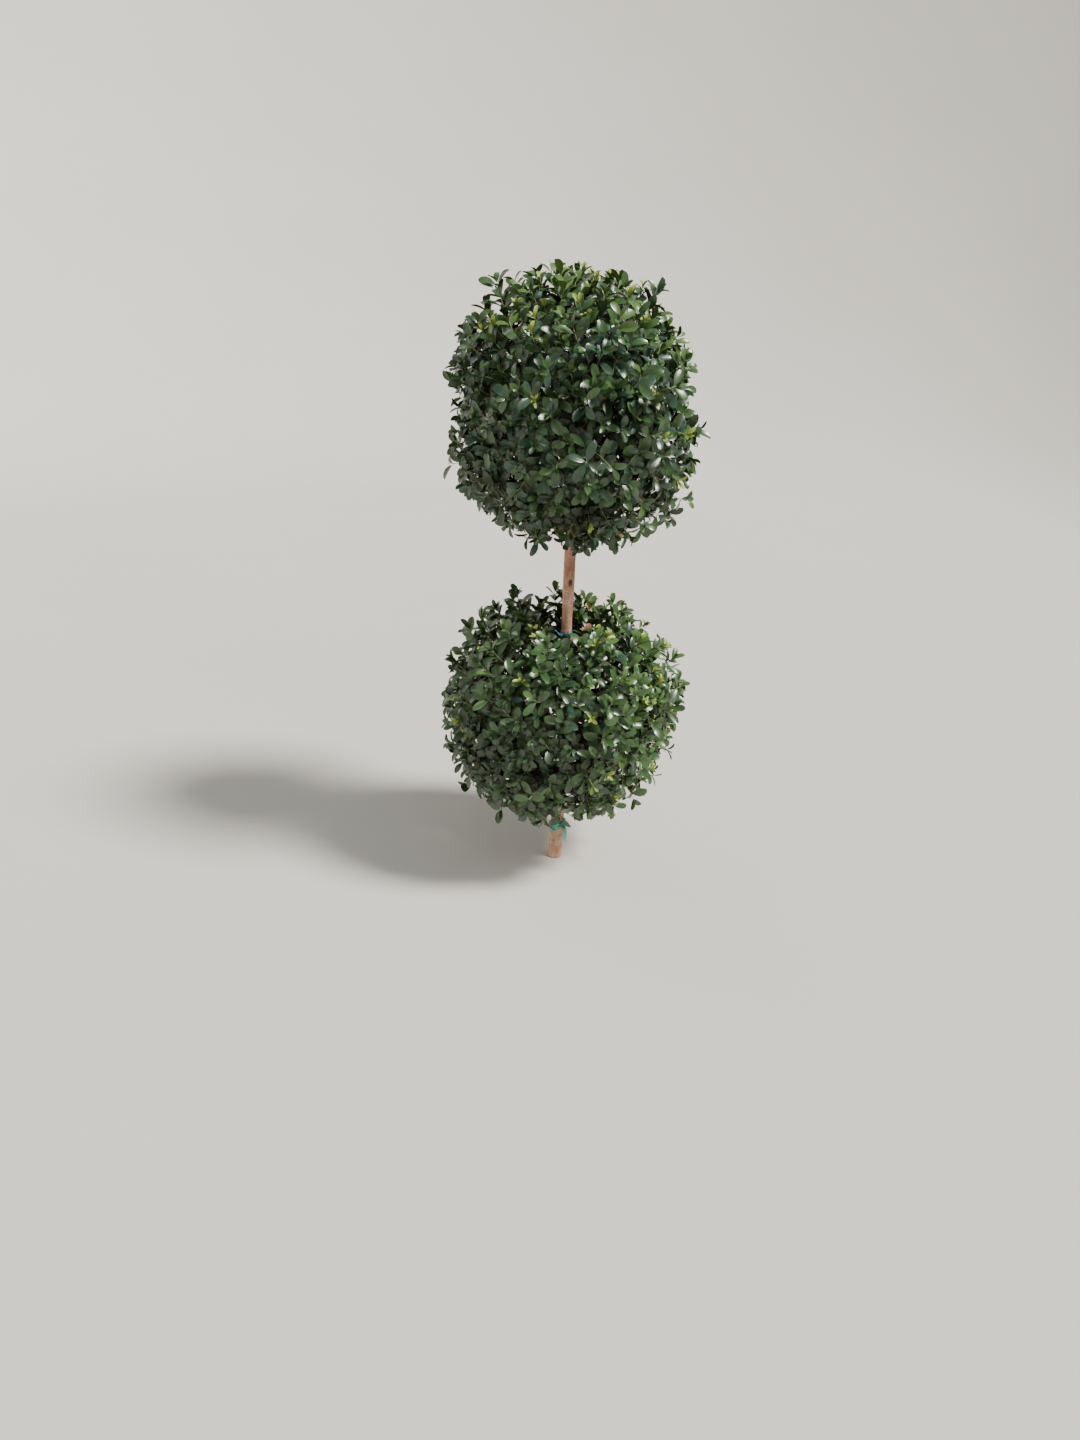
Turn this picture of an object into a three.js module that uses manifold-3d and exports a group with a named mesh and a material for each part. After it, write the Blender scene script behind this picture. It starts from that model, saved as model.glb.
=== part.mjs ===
// A double ball topiary: two clipped balls of small glossy leaves on one bare trunk, rooted in
// level ground. Millimetres, +Z up, with the origin at the middle of the trunk's flat cut.

import * as THREE from "three";
import { mergeVertices } from "three/addons/utils/BufferGeometryUtils.js";
import Module from "manifold-3d";

// Driving dimensions of the trunk
const FORK_HEIGHT = 850;
const FOOT_RADIUS = 13.6;
const FORK_RADIUS = 8.2;
const TAPER_POWER = 1.2;
const FLARE_SHARE = 0.14;
const FLARE_HEIGHT = 16;
const LEAN = 0.0145;
const FOOT_SWEEP = 5;
const FOOT_SWEEP_HEIGHT = 60;
const SIDE_SWEEP = 3;
const SIDE_SWEEP_LENGTH = 210;
const TRUNK_SIDES = 12;
const TRUNK_RING_STEP = 48;
const FOOT_RINGS = [0, 9, 20];
const KNOTS = [
  { height: 98, azimuth: 160, swell: 1.6, tall: 9 },
  { height: 531, azimuth: -20, swell: 1.5, tall: 10 },
  { height: 584, azimuth: -75, swell: 1.3, tall: 11 },
  { height: 612, azimuth: 120, swell: 1.4, tall: 9 },
  { height: 704, azimuth: 30, swell: 1.2, tall: 10 },
];
const KNOT_SPREAD = 0.55;

// Driving dimensions of the two balls: the outline is where most leaf tips end
const LOWER_BALL = {
  centre: [8, 0, 325],
  radius: 220,
  halfHeight: 212,
  squareness: 2.4,
  seed: 11,
  swells: [
    { azimuth: -25, elevation: -38, amount: -0.1 },
    { azimuth: 0, elevation: 8, amount: 0.025 },
    { azimuth: 130, elevation: 30, amount: 0.03 },
  ],
  dimple: { x: 15, y: -25, radius: 85, depth: 0.27 },
  shoots: [
    { azimuth: 168, elevation: 66, past: 46, pairs: 3 },
    { azimuth: 185, elevation: 47, past: 30, pairs: 2 },
    { azimuth: 180, elevation: 18, past: 18, pairs: 2 },
    { azimuth: 192, elevation: 9, past: 16, pairs: 1 },
    { azimuth: 60, elevation: 68, past: 24, pairs: 2 },
    { azimuth: 25, elevation: 60, past: 28, pairs: 2 },
    { azimuth: -10, elevation: 2, past: 14, pairs: 2 },
    { azimuth: 0, elevation: -24, past: 36, pairs: 2 },
    { azimuth: -42, elevation: -62, past: 20, pairs: 2 },
    { azimuth: 218, elevation: -70, past: 46, pairs: 3 },
  ],
};
const UPPER_BALL = {
  centre: [12, 0, 875],
  radius: 208,
  halfHeight: 232,
  squareness: 2.4,
  seed: 47,
  swells: [
    { azimuth: 0, elevation: -20, amount: 0.03 },
    { azimuth: 0, elevation: 14, amount: -0.06 },
    { azimuth: 178, elevation: 5, amount: -0.02 },
    { azimuth: 200, elevation: -60, amount: -0.04 },
    { azimuth: 80, elevation: 20, amount: 0.03 },
  ],
  dimple: null,
  shoots: [
    { azimuth: 95, elevation: 84, past: 14, pairs: 2 },
    { azimuth: 10, elevation: 71, past: 10, pairs: 2 },
    { azimuth: 172, elevation: 63, past: 18, pairs: 2 },
    { azimuth: 0, elevation: 36, past: 18, pairs: 2 },
    { azimuth: 182, elevation: 26, past: 16, pairs: 2 },
    { azimuth: 178, elevation: 0, past: 12, pairs: 1 },
    { azimuth: 186, elevation: -21, past: 22, pairs: 2 },
    { azimuth: -4, elevation: -9, past: 38, pairs: 3 },
    { azimuth: -14, elevation: -19, past: 30, pairs: 3 },
    { azimuth: 190, elevation: -53, past: 20, pairs: 2 },
    { azimuth: 175, elevation: -72, past: 42, pairs: 3 },
    { azimuth: -20, elevation: -62, past: 16, pairs: 2 },
  ],
};
const SWELL_NARROWNESS = 6;
const SPRAYS = 66;
const PROUD_EVERY = 9;
const PROUD_FIRST = 4;
const PROUD_LEAST = 8;
const PROUD_RANGE = 12;
const CORE_SHARE = 0.83;
const CORE_DETAIL = 4;
const CORE_LUMP = 0.05;
const CORE_LUMP_WAVES = 10;
const ROOT_SHARE = 0.76;
const TWIG_ROOT_RADIUS = 3.6;
const TWIG_TIP_RADIUS = 2;
const SPRAY_JITTER = 0.11;

// Driving dimensions of a leaf, longer than life so that fewer of them fill the outline
const LEAF_LENGTH = 56;
const LEAF_SHARE_WIDE = 0.56;
const LEAF_SHARE_THICK = 0.05;
const LEAF_WIDEST = 0.56;
const LEAF_OPEN_LEAST = 58;
const LEAF_OPEN_RANGE = 20;
const LEAF_SIZE_LEAST = 0.84;
const LEAF_SIZE_RANGE = 0.3;
const END_LEAF_LEAST = 0.48;
const END_LEAF_RANGE = 0.12;
const WHORL_HEIGHT = 5;
const WHORL_STEP = 21;
const WHORL_TURN = -60;
const SHOOT_RISE = 0.25;
const SPACE_SHARE = 1.05;
const LIMB_CLEARANCE = 7;

// Driving dimensions of the two plant ties on the trunk
const TIES = {
  tie_lower: {
    height: 62, band: 20, thickness: 1.6, tilt: 4, azimuth: -50, knot: [5.5, 4.5, 7],
    tail: { width: 11, out: 15, lift: 4, reach: 7, rise: -37 },
  },
  tie_upper: {
    height: 477, band: 14, thickness: 1.6, tilt: -2, azimuth: 212, knot: [4.5, 3.6, 5],
    tail: { width: 8, out: 8, lift: 7, reach: 15, rise: 13 },
  },
};
const TIE_TAIL_THICKNESS = 1.4;
const TIE_TAIL_STEPS = 6;
const TIE_TAIL_SUNK = 1.2;
const TIE_TAIL_TAPER = 0.35;
const TIE_KEEP_RADIUS = 36;
const TIE_KEEP_HEIGHT = 22;

// Which of a ball's seeded draws settles what
const DRAWS = { open: 2, leafSize: 3, astrayX: 4, astrayY: 5, astrayZ: 6, proud: 7, endLeaf: 8, turn: 9 };
const DRAWS_PER_SPRAY = 17;
const TWIG_SIDES = [0, 1, 2];
const FIRST_CORNER = -30;

const GAP = 0.35;
const SAME_PLACE = 1e-4;
const SMALLEST_EDGE = 0.02;
const TURN = 2 * Math.PI;
const GOLDEN_ANGLE = Math.PI * (3 - Math.sqrt(5));
const UP = new THREE.Vector3(0, 0, 1);

const FINISHES = {
  bark: { color: 0xa98a72, roughness: 0.85, metalness: 0 },
  foliage: { color: 0x3c5a36, roughness: 0.45, metalness: 0 },
  tie: { color: 0x1f8276, roughness: 0.5, metalness: 0 },
};

const wasm = await Module();
wasm.setup();

// A number from 0 to 1 that always comes out the same for the same index and seed
function chance(index, seed) {
  const wave = Math.sin(index * 12.9898 + seed * 78.233) * 43758.5453;
  return wave - Math.floor(wave);
}

function toward(azimuth, elevation) {
  const turn = THREE.MathUtils.degToRad(azimuth);
  const rise = THREE.MathUtils.degToRad(elevation);
  return new THREE.Vector3(
    Math.cos(rise) * Math.cos(turn), Math.cos(rise) * Math.sin(turn), Math.sin(rise));
}

// A closed solid from points and the triangles between them
function solidFrom(points, triangles) {
  const mesh = new wasm.Mesh({
    numProp: 3,
    vertProperties: new Float32Array(points.flatMap((p) => [p.x, p.y, p.z])),
    triVerts: new Uint32Array(triangles.flat()),
  });
  return new wasm.Manifold(mesh);
}

// A closed solid through rings of points, lowest ring first, each turning anticlockwise
function solidThroughRings(rings) {
  const sides = rings[0].length;
  const points = rings.flat();
  const triangles = [];
  for (let level = 0; level < rings.length - 1; level += 1) {
    for (let side = 0; side < sides; side += 1) {
      const here = level * sides + side;
      const next = level * sides + ((side + 1) % sides);
      triangles.push([here, next, next + sides], [here, next + sides, here + sides]);
    }
  }
  const top = (rings.length - 1) * sides;
  for (let side = 1; side < sides - 1; side += 1) {
    triangles.push([0, side + 1, side], [top, top + side, top + side + 1]);
  }
  return solidFrom(points, triangles);
}

function geometryOf(solid) {
  const mesh = solid.getMesh();
  const geometry = new THREE.BufferGeometry();
  geometry.setAttribute("position", new THREE.BufferAttribute(mesh.vertProperties, 3));
  geometry.setIndex(new THREE.BufferAttribute(mesh.triVerts, 1));
  geometry.computeVertexNormals();
  return geometry;
}

function solidOf(geometry) {
  geometry.deleteAttribute("normal");
  geometry.deleteAttribute("uv");
  const merged = mergeVertices(geometry, SAME_PLACE);
  return new wasm.Manifold(new wasm.Mesh({
    numProp: 3,
    vertProperties: new Float32Array(merged.attributes.position.array),
    triVerts: new Uint32Array(merged.index.array),
  }));
}

// Where the middle of the trunk is at a height: a short sweep at the foot, then a steady lean
function trunkMiddle(height) {
  return new THREE.Vector3(
    FOOT_SWEEP * (1 - Math.exp(-height / FOOT_SWEEP_HEIGHT)) + LEAN * height,
    SIDE_SWEEP * Math.sin(height / SIDE_SWEEP_LENGTH),
    height);
}

function trunkRadius(height) {
  const share = Math.min(1, height / FORK_HEIGHT) ** TAPER_POWER;
  const taper = FOOT_RADIUS + (FORK_RADIUS - FOOT_RADIUS) * share;
  return taper * (1 + FLARE_SHARE * Math.exp(-height / FLARE_HEIGHT));
}

// How far the healed pruning knots swell the trunk at a height and angle
function knotSwell(height, angle) {
  let swell = 0;
  for (const knot of KNOTS) {
    const turn = angle - THREE.MathUtils.degToRad(knot.azimuth);
    const around = Math.atan2(Math.sin(turn), Math.cos(turn)) / KNOT_SPREAD;
    const along = (height - knot.height) / knot.tall;
    swell += knot.swell * Math.exp(-around * around - along * along);
  }
  return swell;
}

function trunkSurface(height, angle, extra) {
  const reach = trunkRadius(height) + knotSwell(height, angle) + extra;
  return trunkMiddle(height).add(
    new THREE.Vector3(Math.cos(angle) * reach, Math.sin(angle) * reach, 0));
}

function trunkRing(heightAt, extra) {
  return Array.from({ length: TRUNK_SIDES }, (_, side) => {
    const angle = (side / TRUNK_SIDES) * TURN;
    return trunkSurface(heightAt(angle), angle, extra);
  });
}

function trunkHeights(top) {
  const heights = [...FOOT_RINGS];
  for (let height = TRUNK_RING_STEP; height < top - 1; height += TRUNK_RING_STEP) heights.push(height);
  heights.push(...KNOTS.map((knot) => knot.height), top);
  return heights.sort((a, b) => a - b);
}

// The trunk's own shape, grown by extra all round: extra is 0 for the trunk itself
function trunkSolid(extra) {
  const heights = trunkHeights(FORK_HEIGHT + extra);
  return solidThroughRings(heights.map((height) => trunkRing(() => height, extra)));
}

// Distance from a ball's centre to its outline along a direction
function outline(ball, direction) {
  const flat = Math.hypot(direction.x, direction.y) / ball.radius;
  const tall = Math.abs(direction.z) / ball.halfHeight;
  let reach = (flat ** ball.squareness + tall ** ball.squareness) ** (-1 / ball.squareness);
  for (const swell of ball.swells) {
    const facing = Math.max(0, direction.dot(toward(swell.azimuth, swell.elevation)));
    reach *= 1 + swell.amount * facing ** SWELL_NARROWNESS;
  }
  if (ball.dimple && direction.z > 0) {
    const away = Math.hypot(
      ball.centre[0] + direction.x * reach - ball.dimple.x,
      ball.centre[1] + direction.y * reach - ball.dimple.y);
    reach *= 1 - ball.dimple.depth * Math.exp(-((away / ball.dimple.radius) ** 2));
  }
  return reach;
}

// The lumpy heart of close foliage that the outer sprays stand out of
function coreSolid(ball) {
  const geometry = new THREE.IcosahedronGeometry(1, CORE_DETAIL);
  const positions = geometry.attributes.position;
  const direction = new THREE.Vector3();
  for (let index = 0; index < positions.count; index += 1) {
    direction.fromBufferAttribute(positions, index).normalize();
    const lump = CORE_LUMP * Math.sin(CORE_LUMP_WAVES * direction.x + ball.seed)
      * Math.cos(CORE_LUMP_WAVES * direction.y) * Math.cos(CORE_LUMP_WAVES * direction.z);
    const reach = outline(ball, direction) * (CORE_SHARE + lump);
    direction.multiplyScalar(reach).add(new THREE.Vector3(...ball.centre));
    positions.setXYZ(index, direction.x, direction.y, direction.z);
  }
  return solidOf(geometry);
}

// A three-sided twig under construction: its points, its triangles and its own directions
function startTwig(root, along, turn) {
  const start = new THREE.Vector3(along.y, along.z, along.x).cross(along).normalize();
  const side = start.applyAxisAngle(along, turn);
  return { root, along, side, face: along.clone().cross(side), points: [], triangles: [] };
}

// A direction across the twig, by its angle in degrees from the twig's own side
function across(twig, degrees) {
  const angle = THREE.MathUtils.degToRad(degrees);
  return twig.side.clone().multiplyScalar(Math.cos(angle)).addScaledVector(twig.face, Math.sin(angle));
}

function addRing(twig, distance, radius, turn) {
  const first = twig.points.length;
  for (const side of TWIG_SIDES) {
    const corner = across(twig, FIRST_CORNER + turn + side * (360 / TWIG_SIDES.length));
    twig.points.push(twig.root.clone()
      .addScaledVector(twig.along, distance)
      .addScaledVector(corner, radius));
  }
  return [first, first + 1, first + 2];
}

function cornersOf(lower, upper, side) {
  const next = (side + 1) % TWIG_SIDES.length;
  return [lower[side], lower[next], upper[next], upper[side]];
}

function addBareSide(twig, [a, b, c, d]) {
  twig.triangles.push([a, b, c], [a, c, d]);
}

// A leaf drawn out of one side of the twig: four belly points, then the tip
function addLeaf(twig, corners, along, length) {
  const [a, b, c, d] = corners;
  const root = new THREE.Vector3();
  for (const corner of corners) root.addScaledVector(twig.points[corner], 0.25);
  const side = twig.points[b].clone().sub(twig.points[a]);
  side.addScaledVector(along, -side.dot(along)).normalize();
  const face = along.clone().cross(side);
  const belly = root.clone().addScaledVector(along, length * LEAF_WIDEST);
  const wide = (length * LEAF_SHARE_WIDE) / 2;
  const thick = (length * LEAF_SHARE_THICK) / 2;
  const under = twig.points.length;
  const [right, over, left, tip] = [under + 1, under + 2, under + 3, under + 4];
  twig.points.push(
    belly.clone().addScaledVector(face, -thick),
    belly.clone().addScaledVector(side, wide),
    belly.clone().addScaledVector(face, thick),
    belly.clone().addScaledVector(side, -wide),
    root.clone().addScaledVector(along, length));
  twig.triangles.push(
    [a, b, under], [b, right, under], [b, c, right], [c, over, right],
    [c, d, over], [d, left, over], [d, a, left], [a, under, left],
    [under, right, tip], [right, over, tip], [over, left, tip], [left, under, tip]);
}

// The young leaf that ends a twig: two edges and one ridge
function addEndLeaf(twig, ring, distance, length, turn) {
  const wide = (length * LEAF_SHARE_WIDE) / 2;
  const middle = twig.root.clone().addScaledVector(twig.along, distance + length * LEAF_WIDEST);
  const first = twig.points.length;
  twig.points.push(
    middle.clone().addScaledVector(across(twig, turn), wide),
    middle.clone().addScaledVector(across(twig, turn + 90), length * LEAF_SHARE_THICK),
    middle.clone().addScaledVector(across(twig, turn), -wide),
    twig.root.clone().addScaledVector(twig.along, distance + length));
  const belly = [first, first + 1, first + 2];
  const tip = first + 3;
  for (const side of TWIG_SIDES) {
    addBareSide(twig, cornersOf(ring, belly, side));
    twig.triangles.push([belly[side], belly[(side + 1) % TWIG_SIDES.length], tip]);
  }
}

function nearLimb(point, room) {
  const away = Math.hypot(
    point.x - trunkMiddle(point.z).x, point.y - trunkMiddle(point.z).y);
  if (point.z < FORK_HEIGHT + room && away < trunkRadius(point.z) + room) return true;
  return Object.values(TIES).some((tie) => (
    Math.abs(point.z - tie.height) < TIE_KEEP_HEIGHT && away < TIE_KEEP_RADIUS));
}

// Whether a leaf or twig stays off the trunk, the ties and the ground
function isFree(root, tip, room) {
  for (const share of [0, 0.25, 0.5, 0.75, 1]) {
    const point = root.clone().lerp(tip, share);
    if (point.z < room || nearLimb(point, room)) return false;
  }
  return true;
}

function withinSpace(ball, point) {
  const spoke = point.clone().sub(new THREE.Vector3(...ball.centre));
  return spoke.length() <= outline(ball, spoke.clone().normalize()) * SPACE_SHARE;
}

// A short length of twig whose sides carry leaves, apart from the bare one and those that don't fit
function addWhorl(twig, ball, lower, upper, { bareSide, draw, clipped }) {
  for (const side of TWIG_SIDES) {
    const corners = cornersOf(lower, upper, side);
    const open = THREE.MathUtils.degToRad(
      LEAF_OPEN_LEAST + LEAF_OPEN_RANGE * chance(draw + side, ball.seed + DRAWS.open));
    const size = LEAF_SIZE_LEAST + LEAF_SIZE_RANGE * chance(draw + side, ball.seed + DRAWS.leafSize);
    const length = LEAF_LENGTH * size;
    const root = twig.points[corners[0]].clone().lerp(twig.points[corners[1]], 0.5);
    const outward = root.clone().sub(twig.root);
    outward.addScaledVector(twig.along, -outward.dot(twig.along)).normalize();
    const along = twig.along.clone().multiplyScalar(Math.cos(open)).addScaledVector(outward, Math.sin(open));
    const tip = root.clone().addScaledVector(along, length);
    const fits = isFree(root, tip, LIMB_CLEARANCE + (length * LEAF_SHARE_WIDE) / 2)
      && (!clipped || withinSpace(ball, tip));
    if (side !== bareSide && fits) addLeaf(twig, corners, along, length);
    else addBareSide(twig, corners);
  }
}

// One spray: a twig out of the ball's heart, whorls of leaves towards its end, and an end leaf
function spraySolid(ball, direction, spray) {
  const reach = outline(ball, direction);
  const centre = new THREE.Vector3(...ball.centre);
  const root = centre.clone().addScaledVector(direction, reach * ROOT_SHARE);
  const end = centre.clone().addScaledVector(direction, reach + spray.past)
    .addScaledVector(UP, spray.past * SHOOT_RISE);
  const along = end.clone().sub(root).normalize();
  const endSize = END_LEAF_LEAST + END_LEAF_RANGE * chance(spray.index, ball.seed + DRAWS.endLeaf);
  const endLength = LEAF_LENGTH * endSize;
  const length = root.distanceTo(end) - endLength;
  const tip = root.clone().addScaledVector(along, length);
  if (!isFree(root, tip, LIMB_CLEARANCE + TWIG_ROOT_RADIUS)) return null;
  const twig = startTwig(root, along, TURN * chance(spray.index, ball.seed + DRAWS.turn));
  const radiusAt = (distance) => (
    TWIG_ROOT_RADIUS + (TWIG_TIP_RADIUS - TWIG_ROOT_RADIUS) * (distance / length));
  let turn = 0;
  let below = addRing(twig, 0, TWIG_ROOT_RADIUS, turn);
  twig.triangles.push([below[0], below[2], below[1]]);
  for (let whorl = spray.whorls - 1; whorl >= 0; whorl -= 1) {
    const foot = length - WHORL_HEIGHT - whorl * WHORL_STEP;
    turn += WHORL_TURN;
    const lower = addRing(twig, foot, radiusAt(foot), turn);
    const upper = addRing(twig, foot + WHORL_HEIGHT, radiusAt(foot + WHORL_HEIGHT), turn);
    for (const side of TWIG_SIDES) addBareSide(twig, cornersOf(below, lower, side));
    const draw = spray.index * DRAWS_PER_SPRAY + whorl * TWIG_SIDES.length;
    const bareSide = spray.clipped ? null : whorl % TWIG_SIDES.length;
    addWhorl(twig, ball, lower, upper, { bareSide, draw, clipped: spray.clipped });
    below = upper;
  }
  addEndLeaf(twig, below, length, endLength, turn);
  return solidFrom(twig.points, twig.triangles);
}

// The direction of one of the sprays that are spread evenly over a ball, a little out of place
function sprayDirection(ball, index) {
  const level = 1 - (2 * (index + 0.5)) / SPRAYS;
  const turn = index * GOLDEN_ANGLE + ball.seed;
  const flat = Math.sqrt(1 - level * level);
  const astray = (draw) => SPRAY_JITTER * (chance(index, ball.seed + draw) - 0.5);
  return new THREE.Vector3(
    flat * Math.cos(turn) + astray(DRAWS.astrayX),
    flat * Math.sin(turn) + astray(DRAWS.astrayY),
    level + astray(DRAWS.astrayZ)).normalize();
}

// The clipped sprays, with every so often one that stands proud, then the longer shoots
function spraysOf(ball) {
  const sprays = [];
  for (let index = 0; index < SPRAYS; index += 1) {
    const direction = sprayDirection(ball, index);
    const proud = index % PROUD_EVERY === PROUD_FIRST;
    const past = proud ? PROUD_LEAST + PROUD_RANGE * chance(index, ball.seed + DRAWS.proud) : 0;
    sprays.push(spraySolid(ball, direction, { index, past, whorls: proud ? 2 : 1, clipped: !proud }));
  }
  ball.shoots.forEach(({ azimuth, elevation, past, pairs }, order) => {
    const spray = { index: SPRAYS + order, past, whorls: pairs, clipped: false };
    sprays.push(spraySolid(ball, toward(azimuth, elevation), spray));
  });
  return sprays.filter((spray) => spray !== null);
}

// One clipped ball: its heart and all its sprays in one solid, clear of the trunk
function ballSolid(ball) {
  const fused = wasm.Manifold.union([coreSolid(ball), ...spraysOf(ball)])
    .subtract(trunkSolid(GAP)).simplify(SMALLEST_EDGE);
  return fused.decompose().sort((a, b) => b.volume() - a.volume())[0];
}

// The loose end of a tie: a flat strip along a curve
function tailSolid(curve, crosswise, width) {
  const rings = [];
  for (let step = 0; step <= TIE_TAIL_STEPS; step += 1) {
    const share = step / TIE_TAIL_STEPS;
    const middle = curve.getPoint(share);
    const along = curve.getTangent(share);
    const face = crosswise.clone().cross(along).normalize();
    const half = (width / 2) * (step < TIE_TAIL_STEPS ? 1 : TIE_TAIL_TAPER);
    const corner = (a, b) => middle.clone()
      .addScaledVector(crosswise, a * half)
      .addScaledVector(face, (b * TIE_TAIL_THICKNESS) / 2);
    rings.push([corner(-1, -1), corner(-1, 1), corner(1, 1), corner(1, -1)]);
  }
  return solidThroughRings(rings);
}

// One plant tie: a band round the trunk, its knot and one loose end
function tieSolid(tie) {
  const azimuth = THREE.MathUtils.degToRad(tie.azimuth);
  const slope = (angle) => tie.height + tie.tilt * Math.cos(angle - azimuth);
  const band = solidThroughRings([
    trunkRing((angle) => slope(angle) - tie.band / 2, GAP + tie.thickness),
    trunkRing((angle) => slope(angle) + tie.band / 2, GAP + tie.thickness),
  ]);
  const outward = toward(tie.azimuth, 0);
  const crosswise = new THREE.Vector3(-outward.y, outward.x, 0);
  const start = trunkSurface(tie.height + tie.tilt, azimuth, GAP + tie.thickness);
  const knot = new THREE.IcosahedronGeometry(1, 1);
  knot.scale(...tie.knot).rotateZ(azimuth).translate(start.x, start.y, start.z);
  const root = start.clone().addScaledVector(outward, -TIE_TAIL_SUNK);
  const bend = start.clone().addScaledVector(outward, tie.tail.out).addScaledVector(UP, tie.tail.lift);
  const end = start.clone().addScaledVector(outward, tie.tail.reach).addScaledVector(UP, tie.tail.rise);
  const tail = tailSolid(new THREE.QuadraticBezierCurve3(root, bend, end), crosswise, tie.tail.width);
  return band.add(solidOf(knot)).add(tail).subtract(trunkSolid(GAP)).simplify(SMALLEST_EDGE);
}

const group = new THREE.Group();

function addPiece(name, solid, finish) {
  const mesh = new THREE.Mesh(geometryOf(solid), new THREE.MeshStandardMaterial(FINISHES[finish]));
  mesh.name = name;
  group.add(mesh);
}

addPiece("trunk", trunkSolid(0), "bark");
addPiece("lower_ball", ballSolid(LOWER_BALL), "foliage");
addPiece("upper_ball", ballSolid(UPPER_BALL), "foliage");
for (const [name, tie] of Object.entries(TIES)) addPiece(name, tieSolid(tie), "tie");

export default group;
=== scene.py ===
"""The looks of a double ball topiary: two clipped balls of small glossy leaves on one bare trunk.

Every size is in metres, +Z is up, and the origin is the middle of the trunk's flat cut. Boughs,
limbs, twigs and leaves grow by the rule that shapes the solids, carried to finer twigs inside the
solids' box.
"""

import logging
import math
from dataclasses import dataclass, field
from enum import Enum, IntEnum

import bpy
import numpy as np
from mathutils import Matrix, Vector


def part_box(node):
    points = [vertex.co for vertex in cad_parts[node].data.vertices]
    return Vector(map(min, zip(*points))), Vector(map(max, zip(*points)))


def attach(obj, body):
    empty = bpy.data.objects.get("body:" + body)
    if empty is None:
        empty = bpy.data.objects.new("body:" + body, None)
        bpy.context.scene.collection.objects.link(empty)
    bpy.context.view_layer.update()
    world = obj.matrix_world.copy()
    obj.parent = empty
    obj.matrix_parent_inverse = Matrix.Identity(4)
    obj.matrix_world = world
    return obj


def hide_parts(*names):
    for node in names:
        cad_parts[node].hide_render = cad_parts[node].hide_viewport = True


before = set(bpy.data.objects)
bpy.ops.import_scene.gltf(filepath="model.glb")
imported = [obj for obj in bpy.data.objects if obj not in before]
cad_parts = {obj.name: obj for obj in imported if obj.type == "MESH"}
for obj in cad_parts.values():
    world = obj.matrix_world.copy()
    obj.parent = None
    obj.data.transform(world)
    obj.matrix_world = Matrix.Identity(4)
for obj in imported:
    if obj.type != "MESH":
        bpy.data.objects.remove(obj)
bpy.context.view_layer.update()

Array = np.ndarray
log = logging.getLogger("topiary")

TURN = 2 * math.pi
GOLDEN_ANGLE = math.pi * (3 - math.sqrt(5))
UP = np.array([0.0, 0.0, 1.0])
GARDEN_SIDE = np.array([0.0, -1.0, 0.0])


# Seeded draws and vectors


def chance(index: Array | float, seed: Array | float) -> Array:
    """Draws numbers from 0 to 1 that are always the same: the fraction of a much stretched sine.

    Args:
        index: Which draws, as whole numbers.
        seed: What the draws are for.

    Returns:
        The draws, in the shape that index and seed make together.
    """
    wave = np.sin(np.asarray(index, float) * 12.9898 + np.asarray(seed, float) * 78.233)
    stretched = wave * 43758.5453
    return stretched - np.floor(stretched)


def toward(azimuth: float, elevation: float) -> Array:
    """Gives the unit vector at an azimuth and an elevation.

    Args:
        azimuth: Turn from +X towards +Y, in degrees.
        elevation: Rise from the level, in degrees.

    Returns:
        The unit vector.
    """
    turn, rise = math.radians(azimuth), math.radians(elevation)
    flat = math.cos(rise)
    return np.array([flat * math.cos(turn), flat * math.sin(turn), math.sin(rise)])


def angle_from(azimuth: float, angle: Array) -> Array:
    """Gives how far angles lie from an azimuth in degrees, between -pi and pi."""
    turn = angle - math.radians(azimuth)
    return np.arctan2(np.sin(turn), np.cos(turn))


def unit(vectors: Array) -> Array:
    """Scales vectors to length 1."""
    return vectors / np.maximum(np.linalg.norm(vectors, axis=-1, keepdims=True), 1e-12)


def square_to(vectors: Array, axes: Array) -> Array:
    """Takes from vectors the part that runs along unit axes, and leaves the part square to them."""
    return vectors - (vectors * axes).sum(-1, keepdims=True) * axes


def across(directions: Array) -> Array:
    """Gives a unit vector square to each direction: its cross product with its rolled self."""
    return unit(np.cross(np.roll(directions, -1, axis=-1), directions))


def smooth(low: float, high: float, value: Array) -> Array:
    """Climbs from 0 at low to 1 at high along 3t^2 - 2t^3, and is level outside."""
    share = np.clip((value - low) / (high - low), 0, 1)
    return share * share * (3 - 2 * share)


def mottle(x: Array, y: Array, seed: float, wrap: int) -> Array:
    """Makes soft noise from 0 to 1: draws at whole-number places, blended smoothly in between.

    Args:
        x: First coordinate, one lattice step per unit.
        y: Second coordinate, which repeats after wrap units.
        seed: What the noise is for.
        wrap: How many lattice rows go round before they repeat.

    Returns:
        The noise, in the shape of x and y together.
    """
    left, low = np.floor(x), np.floor(y)
    blend_x, blend_y = smooth(0, 1, x - left), smooth(0, 1, y - low)

    def corner(step_x: int, step_y: int) -> Array:
        """Draws the value of one lattice corner."""
        return chance((left + step_x) * 57 + np.mod(low + step_y, wrap) * 131, seed)

    lower = corner(0, 0) * (1 - blend_x) + corner(1, 0) * blend_x
    upper = corner(0, 1) * (1 - blend_x) + corner(1, 1) * blend_x
    return lower * (1 - blend_y) + upper * blend_y


# Meshes


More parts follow.
